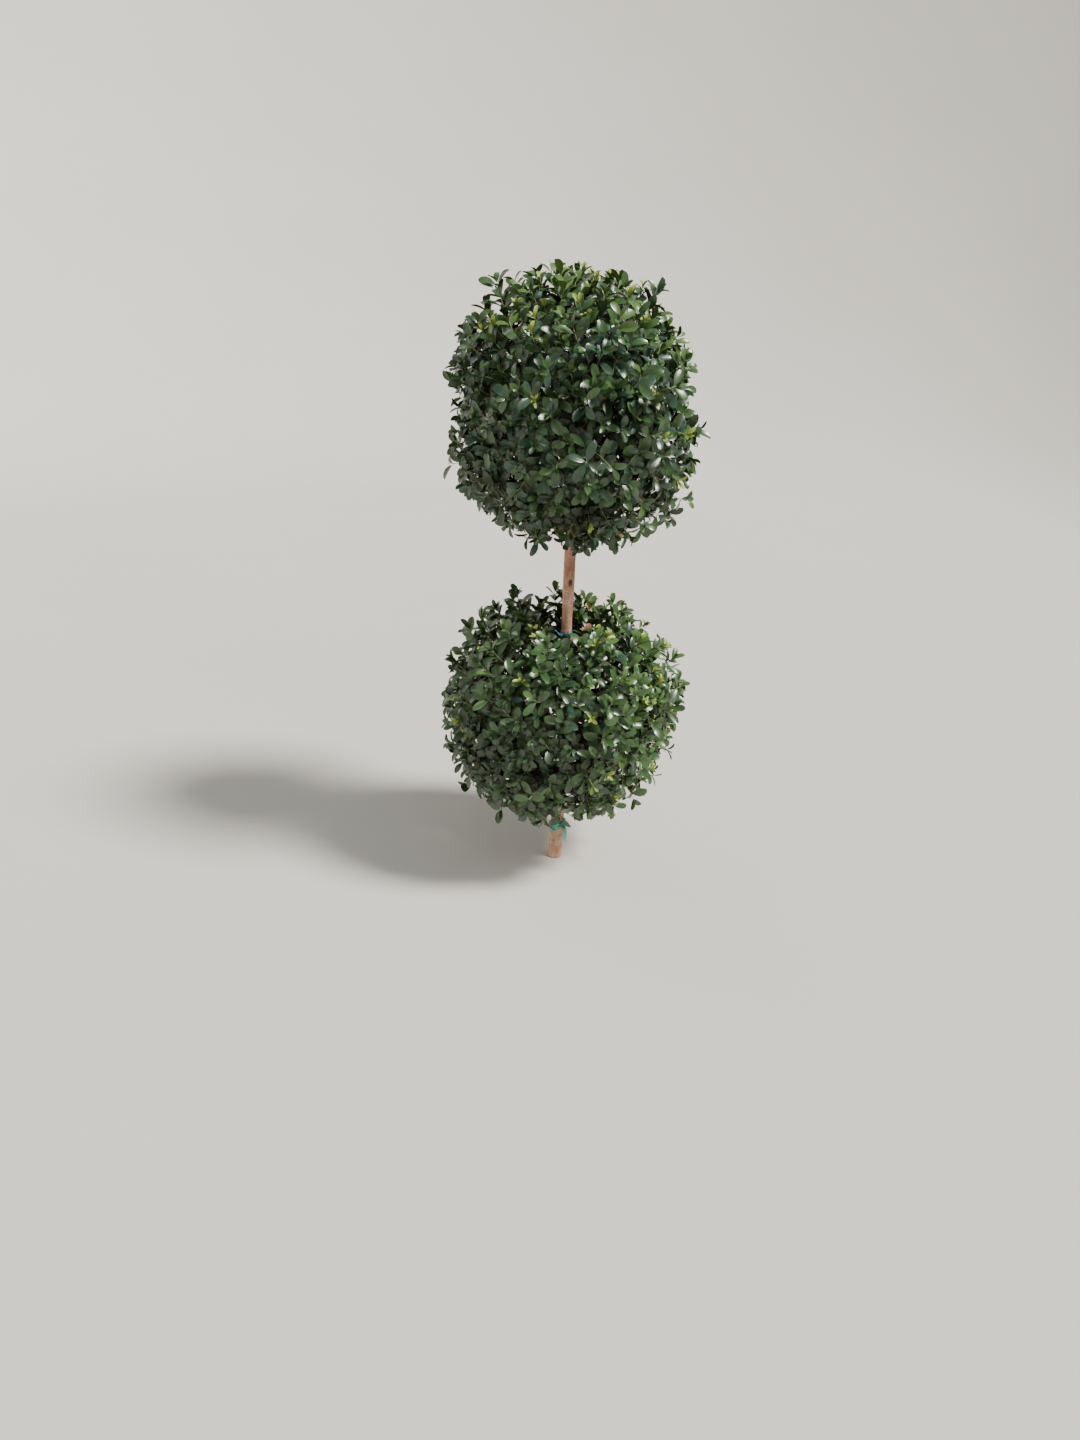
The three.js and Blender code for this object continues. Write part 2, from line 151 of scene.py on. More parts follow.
def grid_faces(rows: int, columns: int, round_rows: bool = False,
               round_columns: bool = False) -> Array:
    """Lists the four-sided faces of a grid of points that is stored row by row.

    Args:
        rows: How many rows of points there are.
        columns: How many points each row holds.
        round_rows: Whether the last row joins the first.
        round_columns: Whether the last point of a row joins its first.

    Returns:
        An array of faces by four corners, turning from a row's next point to the next row.
    """
    row = np.arange(rows if round_rows else rows - 1)[:, None]
    column = np.arange(columns if round_columns else columns - 1)[None, :]
    next_row, next_column = (row + 1) % rows, (column + 1) % columns
    corners = (row * columns + column, row * columns + next_column,
               next_row * columns + next_column, next_row * columns + column)
    return np.stack(corners, -1).reshape(-1, 4)


def fan_faces(ring: Array, hub: int, flip: bool) -> Array:
    """Closes a ring of points with triangles to one hub point.

    Args:
        ring: Numbers of the ring's points.
        hub: Number of the hub point.
        flip: Whether the triangles are turned round.

    Returns:
        An array of faces by three corners.
    """
    following = np.roll(ring, -1)
    order = (following, ring) if flip else (ring, following)
    return np.stack([np.full(len(ring), hub), *order], -1)


def tube_faces(rows: int, columns: int) -> list[Array]:
    """Lists the faces of rings of points, closed by two hub points that follow the last ring.

    Args:
        rows: How many rings there are.
        columns: How many points each ring holds.

    Returns:
        The faces round the tube, and the fans at its first and its last ring.
    """
    last = rows * columns
    ring = np.arange(columns)
    return [grid_faces(rows, columns, round_columns=True), fan_faces(ring, last, True),
            fan_faces(ring + last - columns, last + 1, False)]


def strip_section(columns: int) -> tuple[Array, Array]:
    """Lays out the section of a thin closed strip: across its outer side, then back on its inner.

    Args:
        columns: How many points each side holds.

    Returns:
        For each point its place across, from -1 to 1, and 1 on the outer side or 0 on the inner.
    """
    wide = np.linspace(-1, 1, columns)
    outer = np.concatenate([np.ones(columns), np.zeros(columns)])
    return np.concatenate([wide, wide[::-1]])[None, :], outer[None, :]


def repeated(faces: Array, count: int, step: int) -> Array:
    """Repeats one shape's faces for many copies, whose points lie step places apart."""
    return (faces[None] + (np.arange(count) * step)[:, None, None]).reshape(-1, faces.shape[1])


@dataclass
class Surface:
    """A mesh as arrays: points, groups of faces, and what is known at each point.

    Attributes:
        points: Places of the points, one row each.
        faces: Groups of faces, each an array of faces by corners.
        finishes: For each group of faces, the number of its material.
        rim: For each point, whether it lies on a crease's edge, or None.
        place: For each point, its two coordinates over the piece, or None.
        facts: Numbers known at each point, by name, for the materials to read.
    """

    points: Array
    faces: list[Array]
    finishes: list[int] = field(default_factory=list)
    rim: Array | None = None
    place: Array | None = None
    facts: dict[str, Array] = field(default_factory=dict)

    def facing_out(self) -> "Surface":
        """Turns all faces round if the closed surface holds a negative volume.

        Returns:
            The same surface, with its faces outward.
        """
        volume = 0.0
        for group in self.faces:
            for last in range(2, group.shape[1]):
                a, b, c = (self.points[group[:, corner]] for corner in (0, last - 1, last))
                volume += float((a * np.cross(b, c)).sum())
        if volume < 0:
            self.faces = [group[:, ::-1] for group in self.faces]
        return self

    def joined(self, other: "Surface") -> "Surface":
        """Puts another surface's points and faces behind this one's.

        Args:
            other: The other surface.

        Returns:
            Both in one, with the facts that both hold.
        """
        start = len(self.points)
        facts = {name: np.concatenate([self.facts[name], other.facts[name]])
                 for name in self.facts if name in other.facts}
        return Surface(np.concatenate([self.points, other.points]),
                       self.faces + [group + start for group in other.faces], facts=facts)


def place_object(name: str, content: bpy.types.ID) -> bpy.types.Object:
    """Adds an object to the scene.

    Args:
        name: Its name.
        content: The mesh, light or camera that it holds.

    Returns:
        The object.
    """
    placed = bpy.data.objects.new(name, content)
    bpy.context.scene.collection.objects.link(placed)
    return placed


def axes_matrix(right: Array, up: Array, back: Array) -> Matrix:
    """Gives the turn of an object from the directions of its own axes."""
    return Matrix(np.stack([right, up, back], axis=1).tolist()).to_4x4()


def make_piece(name: str, surface: Surface, materials: list[bpy.types.Material],
               node: str) -> None:
    """Makes a piece of the plant from a surface, puts it under the root body, and hides the solid
    that it replaces.

    Args:
        name: The piece's name.
        surface: Its mesh, with its place in it.
        materials: Its materials, in the order that the surface numbers them.
        node: The solid that the piece replaces.
    """
    mesh = bpy.data.meshes.new(name)
    corners = np.concatenate([group.ravel() for group in surface.faces]).astype(np.int32)
    sizes = np.concatenate([np.full(len(group), group.shape[1]) for group in surface.faces])
    mesh.vertices.add(len(surface.points))
    mesh.vertices.foreach_set("co", surface.points.astype(np.float32).ravel())
    mesh.loops.add(len(corners))
    mesh.loops.foreach_set("vertex_index", corners)
    mesh.polygons.add(len(sizes))
    starts = np.concatenate([[0], np.cumsum(sizes)[:-1]]).astype(np.int32)
    mesh.polygons.foreach_set("loop_start", starts)
    if surface.finishes:
        kinds = np.concatenate([np.full(len(group), kind)
                                for group, kind in zip(surface.faces, surface.finishes)])
        mesh.polygons.foreach_set("material_index", kinds.astype(np.int32))
    mesh.update(calc_edges=True)
    mesh.shade_smooth()
    if surface.rim is not None:
        ends = np.empty(len(mesh.edges) * 2, np.int32)
        mesh.edges.foreach_get("vertices", ends)
        creases = surface.rim[ends.reshape(-1, 2)].all(axis=1)
        sharp = mesh.attributes.new("sharp_edge", "BOOLEAN", "EDGE")
        sharp.data.foreach_set("value", creases)
    if surface.place is not None:
        layer = mesh.uv_layers.new(name="Place")
        layer.data.foreach_set("uv", surface.place[corners].astype(np.float32).ravel())
    for fact, values in surface.facts.items():
        holder = mesh.attributes.new(fact, "FLOAT", "POINT")
        holder.data.foreach_set("value", values.astype(np.float32).ravel())
    mesh.validate()
    for material in materials:
        mesh.materials.append(material)
    piece = place_object(name, mesh)
    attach(piece, "root")
    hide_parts(node)
    log.info("%s: %d triangles", name, int((sizes - 2).sum()))


# Shader maths


class Value:
    """A node's output on which Python arithmetic adds Math nodes."""

    def __init__(self, nodes: "Nodes", socket: bpy.types.NodeSocket) -> None:
        """Keeps the output and the tree that it belongs to."""
        self.nodes = nodes
        self.socket = socket

    def _math(self, operation: str, first: "Value | float", second: "Value | float") -> "Value":
        """Adds one Math node for an operation on two values."""
        return self.nodes.add("ShaderNodeMath", {"operation": operation}, {0: first, 1: second})

    def __add__(self, other: "Value | float") -> "Value":
        """Adds two values."""
        return self._math("ADD", self, other)

    def __sub__(self, other: "Value | float") -> "Value":
        """Takes one value from another."""
        return self._math("SUBTRACT", self, other)

    def __rsub__(self, other: float) -> "Value":
        """Takes this value from a number."""
        return self._math("SUBTRACT", other, self)

    def __mul__(self, other: "Value | float") -> "Value":
        """Multiplies two values."""
        return self._math("MULTIPLY", self, other)

    def __pow__(self, other: "Value | float") -> "Value":
        """Raises this value to a power."""
        return self._math("POWER", self, other)

    __radd__ = __add__
    __rmul__ = __mul__

    def size(self) -> "Value":
        """Gives the value without its sign."""
        return self._math("ABSOLUTE", self, 0.0)

    def wave(self) -> "Value":
        """Gives the sine of the value, in radians."""
        return self._math("SINE", self, 0.0)

    def at_least(self, other: "Value | float") -> "Value":
        """Gives the larger of two values."""
        return self._math("MAXIMUM", self, other)


class Nodes:
    """The node tree of one new material around a Principled shader."""

    def __init__(self, name: str) -> None:
        """Makes the material with its shader and its output.

        Args:
            name: The material's name.
        """
        self.material = bpy.data.materials.new(name)
        self.material.use_nodes = True
        self.tree = self.material.node_tree
        self.shader = next(node for node in self.tree.nodes if node.type == "BSDF_PRINCIPLED")

    def add(self, kind: str, settings: dict[str, object], inputs: dict[int | str, object],
            output: int | str = 0) -> Value:
        """Adds a node.

        Args:
            kind: The node's type.
            settings: Its own settings, which are set first.
            inputs: Values or outputs for its sockets, by number or name.
            output: The output to hand on, by number or name.

        Returns:
            The chosen output.
        """
        node = self.tree.nodes.new(kind)
        for setting, chosen in settings.items():
            setattr(node, setting, chosen)
        for socket, content in inputs.items():
            self.feed(node.inputs[socket], content)
        return Value(self, node.outputs[output])

    def feed(self, socket: bpy.types.NodeSocket, content: object) -> None:
        """Links an output to a socket, or sets the socket's own value.

        Args:
            socket: The socket.
            content: The output, or the value.
        """
        if isinstance(content, Value):
            self.tree.links.new(content.socket, socket)
        else:
            socket.default_value = content

    def set(self, **inputs: object) -> None:
        """Feeds the shader's sockets, whose names are written with underscores for spaces."""
        for name, content in inputs.items():
            self.feed(self.shader.inputs[name.replace("_", " ")], content)

    def spot(self, stretch: tuple[float, float, float] = (1, 1, 1)) -> Value:
        """Gives the place on the piece in metres, stretched along each axis."""
        place = self.add("ShaderNodeTexCoord", {}, {}, "Object")
        return self.add("ShaderNodeMapping", {}, {"Vector": place, "Scale": stretch})

    def noise(self, place: Value, scale: float, detail: float, roughness: float = 0.55) -> Value:
        """Gives cloudy noise from 0 to 1 at a place."""
        inputs = {"Vector": place, "Scale": scale, "Detail": detail, "Roughness": roughness}
        return self.add("ShaderNodeTexNoise", {}, inputs, 0)

    def fact(self, name: str) -> Value:
        """Gives a number that the mesh holds at each point."""
        return self.add("ShaderNodeAttribute", {"attribute_name": name}, {}, "Fac")

    def between(self, share: Value, low: float, high: float) -> Value:
        """Stretches a value so that low becomes 0 and high becomes 1, and holds it there."""
        settings = {"interpolation_type": "SMOOTHSTEP"}
        return self.add("ShaderNodeMapRange", settings, {"Value": share, 1: low, 2: high})

    def mix(self, share: "Value | float", first: object, second: object) -> Value:
        """Mixes two colours by a share."""
        return self.add("ShaderNodeMix", {"data_type": "RGBA"}, {0: share, 6: first, 7: second}, 2)

    def bump(self, height: Value, strength: float, depth: float) -> Value:
        """Turns a height into a normal."""
        inputs = {"Height": height, "Strength": strength, "Distance": depth}
        return self.add("ShaderNodeBump", {}, inputs)


def paint(code: str) -> tuple[float, float, float, float]:
    """Gives the linear colour of a colour code, by the sRGB curve.

    Args:
        code: Six hexadecimal digits.

    Returns:
        Red, green, blue, and 1 for the alpha.
    """
    parts = np.array([int(code[start:start + 2], 16) / 255 for start in (0, 2, 4)])
    linear = np.where(parts <= 0.04045, parts / 12.92, ((parts + 0.055) / 1.055) ** 2.4)
    return (*linear.tolist(), 1.0)


# Finishes


class Tint(Enum):
    """The colours that leaves come in, dealt out by spray and by age."""

    DEEP = "deep"
    BLUE = "blue"
    MID = "mid"
    FRESH = "fresh"
    YOUNG = "young"
    YELLOW = "yellow"
    DRY = "dry"


@dataclass(frozen=True)
class LeafFinish:
    """A leaf's waxy upper side and its dull, paler underside.

    Attributes:
        upper: Colour code of the upper side.
        under: Colour code of the underside.
        gloss: Roughness of the upper side.
    """

    upper: str
    under: str
    gloss: float

    SHINE = 0.56  # how much the upper side reflects
    UNDER_GLOSS, UNDER_SHINE = 0.6, 0.2
    MIDRIB = 7  # how narrow the midrib is
    VEINS, VEIN_SLANT, VEIN_RISE = 62, 16, 0.25
    RELIEF, RELIEF_DEPTH = 0.3, 0.0004

    def materials(self, name: str) -> list[bpy.types.Material]:
        """Makes the materials of both sides.

        Args:
            name: What their names start with.

        Returns:
            The upper side's material, then the underside's.
        """
        return [self._side(f"{name}_upper", self.upper, self.gloss, self.SHINE),
                self._side(f"{name}_under", self.under, self.UNDER_GLOSS, self.UNDER_SHINE)]

    def _side(self, name: str, colour: str, roughness: float,
              shine: float) -> bpy.types.Material:
        """Makes one side's material: a plain colour, with veins that rise to a midrib.

        The midrib is a ridge along the middle of the leaf, and the side veins are a sine of the
        place along the leaf plus a share of the place across it.

        Args:
            name: The material's name.
            colour: Colour code.
            roughness: How dull it is.
            shine: How much it reflects.

        Returns:
            The material.
        """
        nodes = Nodes(name)
        place = nodes.add("ShaderNodeTexCoord", {}, {}, "UV")
        wide = nodes.add("ShaderNodeSeparateXYZ", {}, {0: place}, 0)
        long = nodes.add("ShaderNodeSeparateXYZ", {}, {0: place}, 1)
        aside = (wide - 0.5).size() * 2
        midrib = (1 - aside * self.MIDRIB).at_least(0)
        veins = ((long * self.VEINS - aside * self.VEIN_SLANT).wave() * 0.5 + 0.5) ** 3
        ridges = midrib + veins * self.VEIN_RISE
        nodes.set(Base_Color=paint(colour), Roughness=roughness, Specular_IOR_Level=shine,
                  Normal=nodes.bump(ridges, self.RELIEF, self.RELIEF_DEPTH))
        return nodes.material


LEAF_FINISHES = {
    Tint.DEEP: LeafFinish("25371c", "394822", 0.29),
    Tint.BLUE: LeafFinish("27412f", "394d30", 0.28),
    Tint.MID: LeafFinish("324d28", "41552a", 0.29),
    Tint.FRESH: LeafFinish("46622e", "506831", 0.31),
    Tint.YOUNG: LeafFinish("889b3c", "8f9f4a", 0.5),
    Tint.YELLOW: LeafFinish("98923c", "969150", 0.45),
    Tint.DRY: LeafFinish("80513a", "6f4630", 0.65),
}


@dataclass(frozen=True)
class Wash:
    """A colour laid on where a noise passes from a low to a high level, and how strongly."""

    noise: Value
    low: float
    high: float
    share: float
    colour: str


@dataclass(frozen=True)
class BarkFinish:
    """Thin bark, finely mottled, with short pale marks across it.

    Attributes:
        hollow: Colour code of the hollows.
        middle: Colour code of most of the bark.
        crest: Colour code of the smooth high places.
        blush: Colour code of the broad warm patches.
        scar: Colour code of the healed pruning scars.
        grain: How many hollows there are to a metre round the limb.
    """

    hollow: str
    middle: str
    crest: str
    blush: str
    scar: str
    grain: float

    PATCHES, STAINS = 42, 36  # how many there are to a metre
    WARMING = 0.14

    def material(self, name: str) -> bpy.types.Material:
        """Makes the material: mottling along the limb, broad patches, marks across it and scars.

        The colours are laid over one another, each by a noise smoothed between two levels.

        Args:
            name: The material's name.

        Returns:
            The material.
        """
        nodes = Nodes(name)
        grain = nodes.noise(nodes.spot((1, 1, 0.3)), self.grain, 6, 0.62)
        flecks = nodes.noise(nodes.spot((1, 1, 0.55)), self.grain * 3.2, 4, 0.6)
        marks = nodes.noise(nodes.spot((0.4, 0.4, 2.4)), self.grain, 3, 0.5)
        patches = nodes.noise(nodes.spot((1, 1, 0.6)), self.PATCHES, 3)
        patches = patches + nodes.fact("warmth") * self.WARMING
        stains = nodes.noise(nodes.spot((1, 1, 0.4)), self.STAINS, 3)
        height = grain * 0.55 + nodes.fact("relief") * 0.45
        washes = (Wash(height, 0.5, 0.7, 0.8, self.crest),
                  Wash(patches, 0.46, 0.66, 0.62, self.blush),
                  Wash(marks, 0.56, 0.68, 0.6, self.crest),
                  Wash(flecks, 0.58, 0.7, 0.5, self.hollow),
                  Wash(stains, 0.54, 0.68, 0.4, self.scar))
        colour = nodes.mix(nodes.between(height, 0.3, 0.48), paint(self.hollow), paint(self.middle))
        for wash in washes:
            amount = nodes.between(wash.noise, wash.low, wash.high) * wash.share
            colour = nodes.mix(amount, colour, paint(wash.colour))
        scar = nodes.fact("scar") * nodes.between(grain + flecks * 0.5, 0.5, 0.78)
        colour = nodes.mix(scar, colour, paint(self.scar))
        nodes.set(Base_Color=colour, Roughness=0.92 - height * 0.28, Specular_IOR_Level=0.3,
                  Normal=nodes.bump(grain + flecks * 0.4 + marks * 0.4, 0.45, 0.0012))
        return nodes.material


TRUNK_BARK = BarkFinish("7d5d4a", "b38d74", "dcc0a9", "bd8568", "5b3a2f", 190)
BOUGH_BARK = BarkFinish("4a3f35", "76675a", "948577", "7e6e61", "3a2e26", 420)


@dataclass(frozen=True)
class TwigFinish:
    """The skin of a thin twig: one colour, finely ribbed along its length."""

    colour: str
    roughness: float

    def material(self, name: str) -> bpy.types.Material:
        """Makes the material: a plain colour with a fine uneven surface.

        Args:
            name: The material's name.

        Returns:
            The material.
        """
        nodes = Nodes(name)
        ribs = nodes.noise(nodes.spot(), 900, 3)
        nodes.set(Base_Color=paint(self.colour), Roughness=self.roughness,
                  Normal=nodes.bump(ribs, 0.3, 0.0005))
        return nodes.material


WOODY_TWIG = TwigFinish("6b5645", 0.75)
GREEN_TWIG = TwigFinish("7b8450", 0.6)


@dataclass(frozen=True)
class TapeFinish:
    """Soft plastic tie tape, darker in its folds as painted shade and paler on raised parts as
    painted light.

    Attributes:
        deep: Colour code of the darker tape, which folds and pinches take as painted shade.
        clear: Colour code of the paler tape, which raised parts and the loose end take as painted
            light.
    """

    deep: str
    clear: str

    def material(self, name: str) -> bpy.types.Material:
        """Makes the material: stretch marks along the tape, over colour that changes at random and
        with painted light and shade.

        Args:
            name: The material's name.

        Returns:
            The material.
        """
        nodes = Nodes(name)
        clouds = nodes.noise(nodes.spot(), 160, 3)
        marks = nodes.noise(nodes.spot((1, 1, 5)), 420, 4)
        # Half the colour is random clouds; half is the relief, as painted shade in folds and
        # painted light on raised parts.
        share = nodes.between(clouds * 0.5 + nodes.fact("relief") * 0.5, 0.3, 0.72)
        nodes.set(Base_Color=nodes.mix(share, paint(self.deep), paint(self.clear)),
                  Roughness=0.3 + marks * 0.22, Normal=nodes.bump(marks, 0.35, 0.0005))
        return nodes.material


# The trunk


@dataclass(frozen=True)
class Knot:
    """A healed pruning knot: its height, azimuth in degrees, swell, and how tall it is."""

    height: float
    azimuth: float
    swell: float
    tall: float


@dataclass(frozen=True)
class BarkLayer:
    """A layer of the bark's relief: its step in height, how many go round, its seed and share."""

    step: float
    around: int
    seed: float
    share: float


@dataclass(frozen=True)
class Trunk:
    """The bare trunk, with fine bark in relief and a slim neck between the balls.

    Attributes:
        fork_height: Height at which the trunk ends in the upper ball.
        foot_radius: Radius at the ground, without the flare.
        fork_radius: Radius at the fork.
        taper_power: How the radius falls between them.
        flare: Share of the radius that the foot flares by.
        flare_height: Height over which the flare dies away.
        neck: Share of the radius that the trunk is slimmer by between the balls.
        neck_height: Height of its slimmest place.
        neck_spread: Height over which it slims.
        lean: How far the trunk leans along +X for each metre of height.
        foot_sweep: How far the foot sweeps along +X, over foot_sweep_height.
        side_sweep: How far the trunk weaves along Y, over side_sweep_length.
        knots: The healed pruning knots.
        knot_spread: How far a knot's swell runs round the trunk, in radians.
        warm_from: Heights between which the bark turns warmer in colour.
        sides: Points round each ring of the mesh.
        ring_step: Height between rings of the mesh.
    """

    fork_height: float = 0.85
    foot_radius: float = 0.0136
    fork_radius: float = 0.0092
    taper_power: float = 1.2
    flare: float = 0.14
    flare_height: float = 0.016
    neck: float = 0.13
    neck_height: float = 0.495
    neck_spread: float = 0.05
    lean: float = 0.0145
    foot_sweep: float = 0.005
    foot_sweep_height: float = 0.06
    side_sweep: float = 0.003
    side_sweep_length: float = 0.21
    knots: tuple[Knot, ...] = (
        Knot(0.098, 160, 0.0016, 0.009), Knot(0.531, -20, 0.0015, 0.010),
        Knot(0.575, -76, 0.0013, 0.0115), Knot(0.612, 120, 0.0014, 0.009),
        Knot(0.704, 30, 0.0012, 0.010))
    knot_spread: float = 0.55
    warm_from: tuple[float, float] = (0.53, 0.6)
    sides: int = 88
    ring_step: float = 0.0026

    FIBRES = BarkLayer(0.016, 40, 3.1, 0.28)
    FLAKES = BarkLayer(0.008, 22, 5.7, 0.26)
    UNEVENNESS = BarkLayer(0.032, 4, 8.3, 0.3)
    FAINT_RINGS = BarkLayer(0.0065, 3, 9.9, 0.16)
    LAYERS = (FIBRES, FLAKES, UNEVENNESS, FAINT_RINGS)
    BARK_DEPTH, BARK_LEVEL = 0.0019, 0.62  # how deep the relief is, and its share at the radius
    SCAR_WIDE, SCAR_TALL = 0.42, 0.78  # a scar's half sizes, as shares of its knot's height
    LIP_HEIGHT, LIP_WIDTH = 0.0007, 0.28
    SCAR_DEPTH, SCAR_FLOOR = 0.0011, 0.6

    def middle(self, height: Array) -> Array:
        """Gives the trunk's middle: a short sweep at the foot, then a steady lean and a weave.

        Args:
            height: Heights on the trunk.

        Returns:
            The middle at each height, as three coordinates.
        """
        height = np.asarray(height, float)
        sweep = self.foot_sweep * (1 - np.exp(-height / self.foot_sweep_height))
        along_x = sweep + self.lean * height
        along_y = self.side_sweep * np.sin(height / self.side_sweep_length)
        return np.stack([along_x, along_y, height], -1)

    def radius(self, height: Array) -> Array:
        """Gives the radius: a power taper, times the foot's flare and the neck's bell.

        Args:
            height: Heights on the trunk.

        Returns:
            The radius at each height, without knots and bark.
        """
        height = np.asarray(height, float)
        share = np.clip(height / self.fork_height, 0, 1) ** self.taper_power
        taper = self.foot_radius + (self.fork_radius - self.foot_radius) * share
        slim = self.neck * np.exp(-(((height - self.neck_height) / self.neck_spread) ** 2))
        return taper * (1 + self.flare * np.exp(-height / self.flare_height)) * (1 - slim)

    def knot_swell(self, height: Array, angle: Array) -> Array:
        """Adds up the knots' swells: a bell over height times a bell round the trunk for each.

        Args:
            height: Heights of the points.
            angle: Angles of the points round the trunk.

        Returns:
            How far the knots lift the surface.
        """
        total = np.zeros(np.broadcast(height, angle).shape)
        for knot in self.knots:
            around = angle_from(knot.azimuth, angle) / self.knot_spread
            above = (height - knot.height) / knot.tall
            total = total + knot.swell * np.exp(-around**2 - above**2)
        return total

    def skin(self, height: Array, angle: Array, extra: Array | float) -> Array:
        """Gives points on the trunk's surface, or off it.

        Args:
            height: Heights of the points.
            angle: Angles of the points round the trunk.
            extra: How far they lie outside the surface.

        Returns:
            The points, as three coordinates each.
        """
        reach = self.radius(height) + self.knot_swell(height, angle) + extra
        flat = np.stack([np.cos(angle) * reach, np.sin(angle) * reach, np.zeros_like(reach)], -1)
        return self.middle(height) + flat

    def scar_shape(self, height: Array, angle: Array) -> tuple[Array, Array]:
        """Shapes the scar in the middle of each knot: an oval hollow inside a raised lip.

        Args:
            height: Heights of the points.
            angle: Angles of the points round the trunk.

        Returns:
            How far the scars lift the surface, and how much of each point is scar.
        """
        lift, share = np.zeros_like(angle + height), np.zeros_like(angle + height)
        for knot in self.knots:
            around = angle_from(knot.azimuth, angle) * self.radius(knot.height)
            above = height - knot.height
            oval = np.hypot(around / (knot.tall * self.SCAR_WIDE),
                            above / (knot.tall * self.SCAR_TALL))
            lip = self.LIP_HEIGHT * np.exp(-(((oval - 1) / self.LIP_WIDTH) ** 2))
            lift = lift + lip - self.SCAR_DEPTH * np.exp(-(oval / self.SCAR_FLOOR) ** 4)
            share = np.maximum(share, 1 - smooth(0.62, 1.05, oval))
        return lift, share

    def relief(self, height: Array, angle: Array) -> Array:
        """Gives the bark's relief: the sum of its layers, each by its share.

        Args:
            height: Heights of the points.
            angle: Angles of the points round the trunk.

        Returns:
            The relief, from 0 to 1.
        """
        turns = angle / TURN
        return sum(layer.share * mottle(height / layer.step, turns * layer.around, layer.seed,
                                        layer.around) for layer in self.LAYERS)

    def build(self) -> None:
        """Makes the trunk: rings of points up its middle, closed flat at the foot and the fork."""
        rows = round(self.fork_height / self.ring_step) + 1
        height = np.linspace(0, self.fork_height, rows)[:, None]
        angle = np.linspace(0, TURN, self.sides, endpoint=False)[None, :]
        relief = self.relief(height, angle)
        lift, scar = self.scar_shape(height, angle)
        raised = (relief - self.BARK_LEVEL) * self.BARK_DEPTH + lift
        points = self.skin(height, angle, raised).reshape(-1, 3)
        ends = np.array([self.middle(0.0), self.middle(self.fork_height)])
        warmth = smooth(*self.warm_from, height + 0 * angle)
        facts = {"relief": np.append(relief.ravel(), [0.5, 0.5]),
                 "scar": np.append(scar.ravel(), [0, 0]),
                 "warmth": np.append(warmth.ravel(), [0, 1])}
        surface = Surface(np.concatenate([points, ends]), tube_faces(rows, self.sides), facts=facts)
        make_piece("trunk_bark", surface, [TRUNK_BARK.material("trunk_bark")], "trunk")


# The outline of a ball


@dataclass(frozen=True)
class Swell:
    """A place where a ball's outline stands out or in: azimuth and elevation in degrees."""

    azimuth: float
    elevation: float
    amount: float


@dataclass(frozen=True)
class Dimple:
    """A hollow in a ball's top, round the trunk."""

    x: float
    y: float
    radius: float
    depth: float


@dataclass(frozen=True)
class Shoot:
    """A shoot that has outgrown the clipping: where it points, in degrees, and how far past."""

    azimuth: float
    elevation: float
    past: float


@dataclass(frozen=True)
class BallShape:
    """The outline that a ball is clipped to, and the shoots that pass it.

    Attributes:
        node: The solid's name.
        centre: The ball's middle.
        radius: Its reach to the sides.
        half_height: Its reach up and down.
        seed: What its draws start from.
        swells: Where the outline stands out or in.
        dimple: The hollow in its top, or None.
        shoots: The shoots past the outline.
        forks: The lowest and highest place on the trunk where its boughs start.
        squareness: The power of the outline's curve, where 2 is an ellipse.
    """

    node: str
    centre: tuple[float, float, float]
    radius: float
    half_height: float
    seed: int
    swells: tuple[Swell, ...]
    dimple: Dimple | None
    shoots: tuple[Shoot, ...]
    forks: tuple[float, float]
    squareness: float = 2.4

    LOBE_POWER = 6

    def reach(self, directions: Array) -> Array:
        """Gives the distance from the middle to the outline along unit directions.

        The outline is a superellipse turned about Z, times a narrow lobe for each swell, times a
        bell for the dimple, measured from the dimple's middle to where the outline would be.

        Args:
            directions: Unit vectors.

        Returns:
            The distances.
        """
        flat = np.hypot(directions[..., 0], directions[..., 1]) / self.radius
        tall = np.abs(directions[..., 2]) / self.half_height
        power = self.squareness
        reach = (flat**power + tall**power) ** (-1 / power)
        for swell in self.swells:
            facing = np.maximum(0, directions @ toward(swell.azimuth, swell.elevation))
            reach = reach * (1 + swell.amount * facing**self.LOBE_POWER)
        if self.dimple is None:
            return reach
        spot = np.asarray(self.centre) + directions * reach[..., None]
        aside = np.hypot(spot[..., 0] - self.dimple.x, spot[..., 1] - self.dimple.y)
        bell = np.exp(-((aside / self.dimple.radius) ** 2)) * (directions[..., 2] > 0)
        return reach * (1 - self.dimple.depth * bell)


LOWER_BALL = BallShape(
    node="lower_ball", centre=(0.008, 0, 0.325), radius=0.220, half_height=0.212, seed=11,
    swells=(Swell(-25, -38, -0.1), Swell(0, 8, 0.025), Swell(130, 30, 0.03)),
    dimple=Dimple(0.015, -0.025, 0.085, 0.27),
    shoots=(Shoot(168, 66, 0.046), Shoot(185, 47, 0.030), Shoot(180, 18, 0.018),
            Shoot(192, 9, 0.016), Shoot(60, 68, 0.024), Shoot(25, 60, 0.028),
            Shoot(-10, 2, 0.014), Shoot(0, -24, 0.036), Shoot(-42, -62, 0.020),
            Shoot(218, -70, 0.046)),
    forks=(0.185, 0.40))
UPPER_BALL = BallShape(
    node="upper_ball", centre=(0.012, 0, 0.875), radius=0.208, half_height=0.232, seed=47,
    swells=(Swell(0, -20, 0.03), Swell(0, 14, -0.06), Swell(178, 5, -0.02), Swell(200, -60, -0.04),
            Swell(80, 20, 0.03)),
    dimple=None,
    shoots=(Shoot(95, 84, 0.014), Shoot(10, 71, 0.010), Shoot(172, 63, 0.018),
            Shoot(0, 36, 0.018), Shoot(182, 26, 0.016), Shoot(178, 0, 0.012),
            Shoot(186, -21, 0.022), Shoot(-4, -9, 0.038), Shoot(-14, -19, 0.030),
            Shoot(190, -53, 0.020), Shoot(175, -72, 0.042), Shoot(-20, -62, 0.016)),
    forks=(0.735, 0.842))


# Stems and leaves


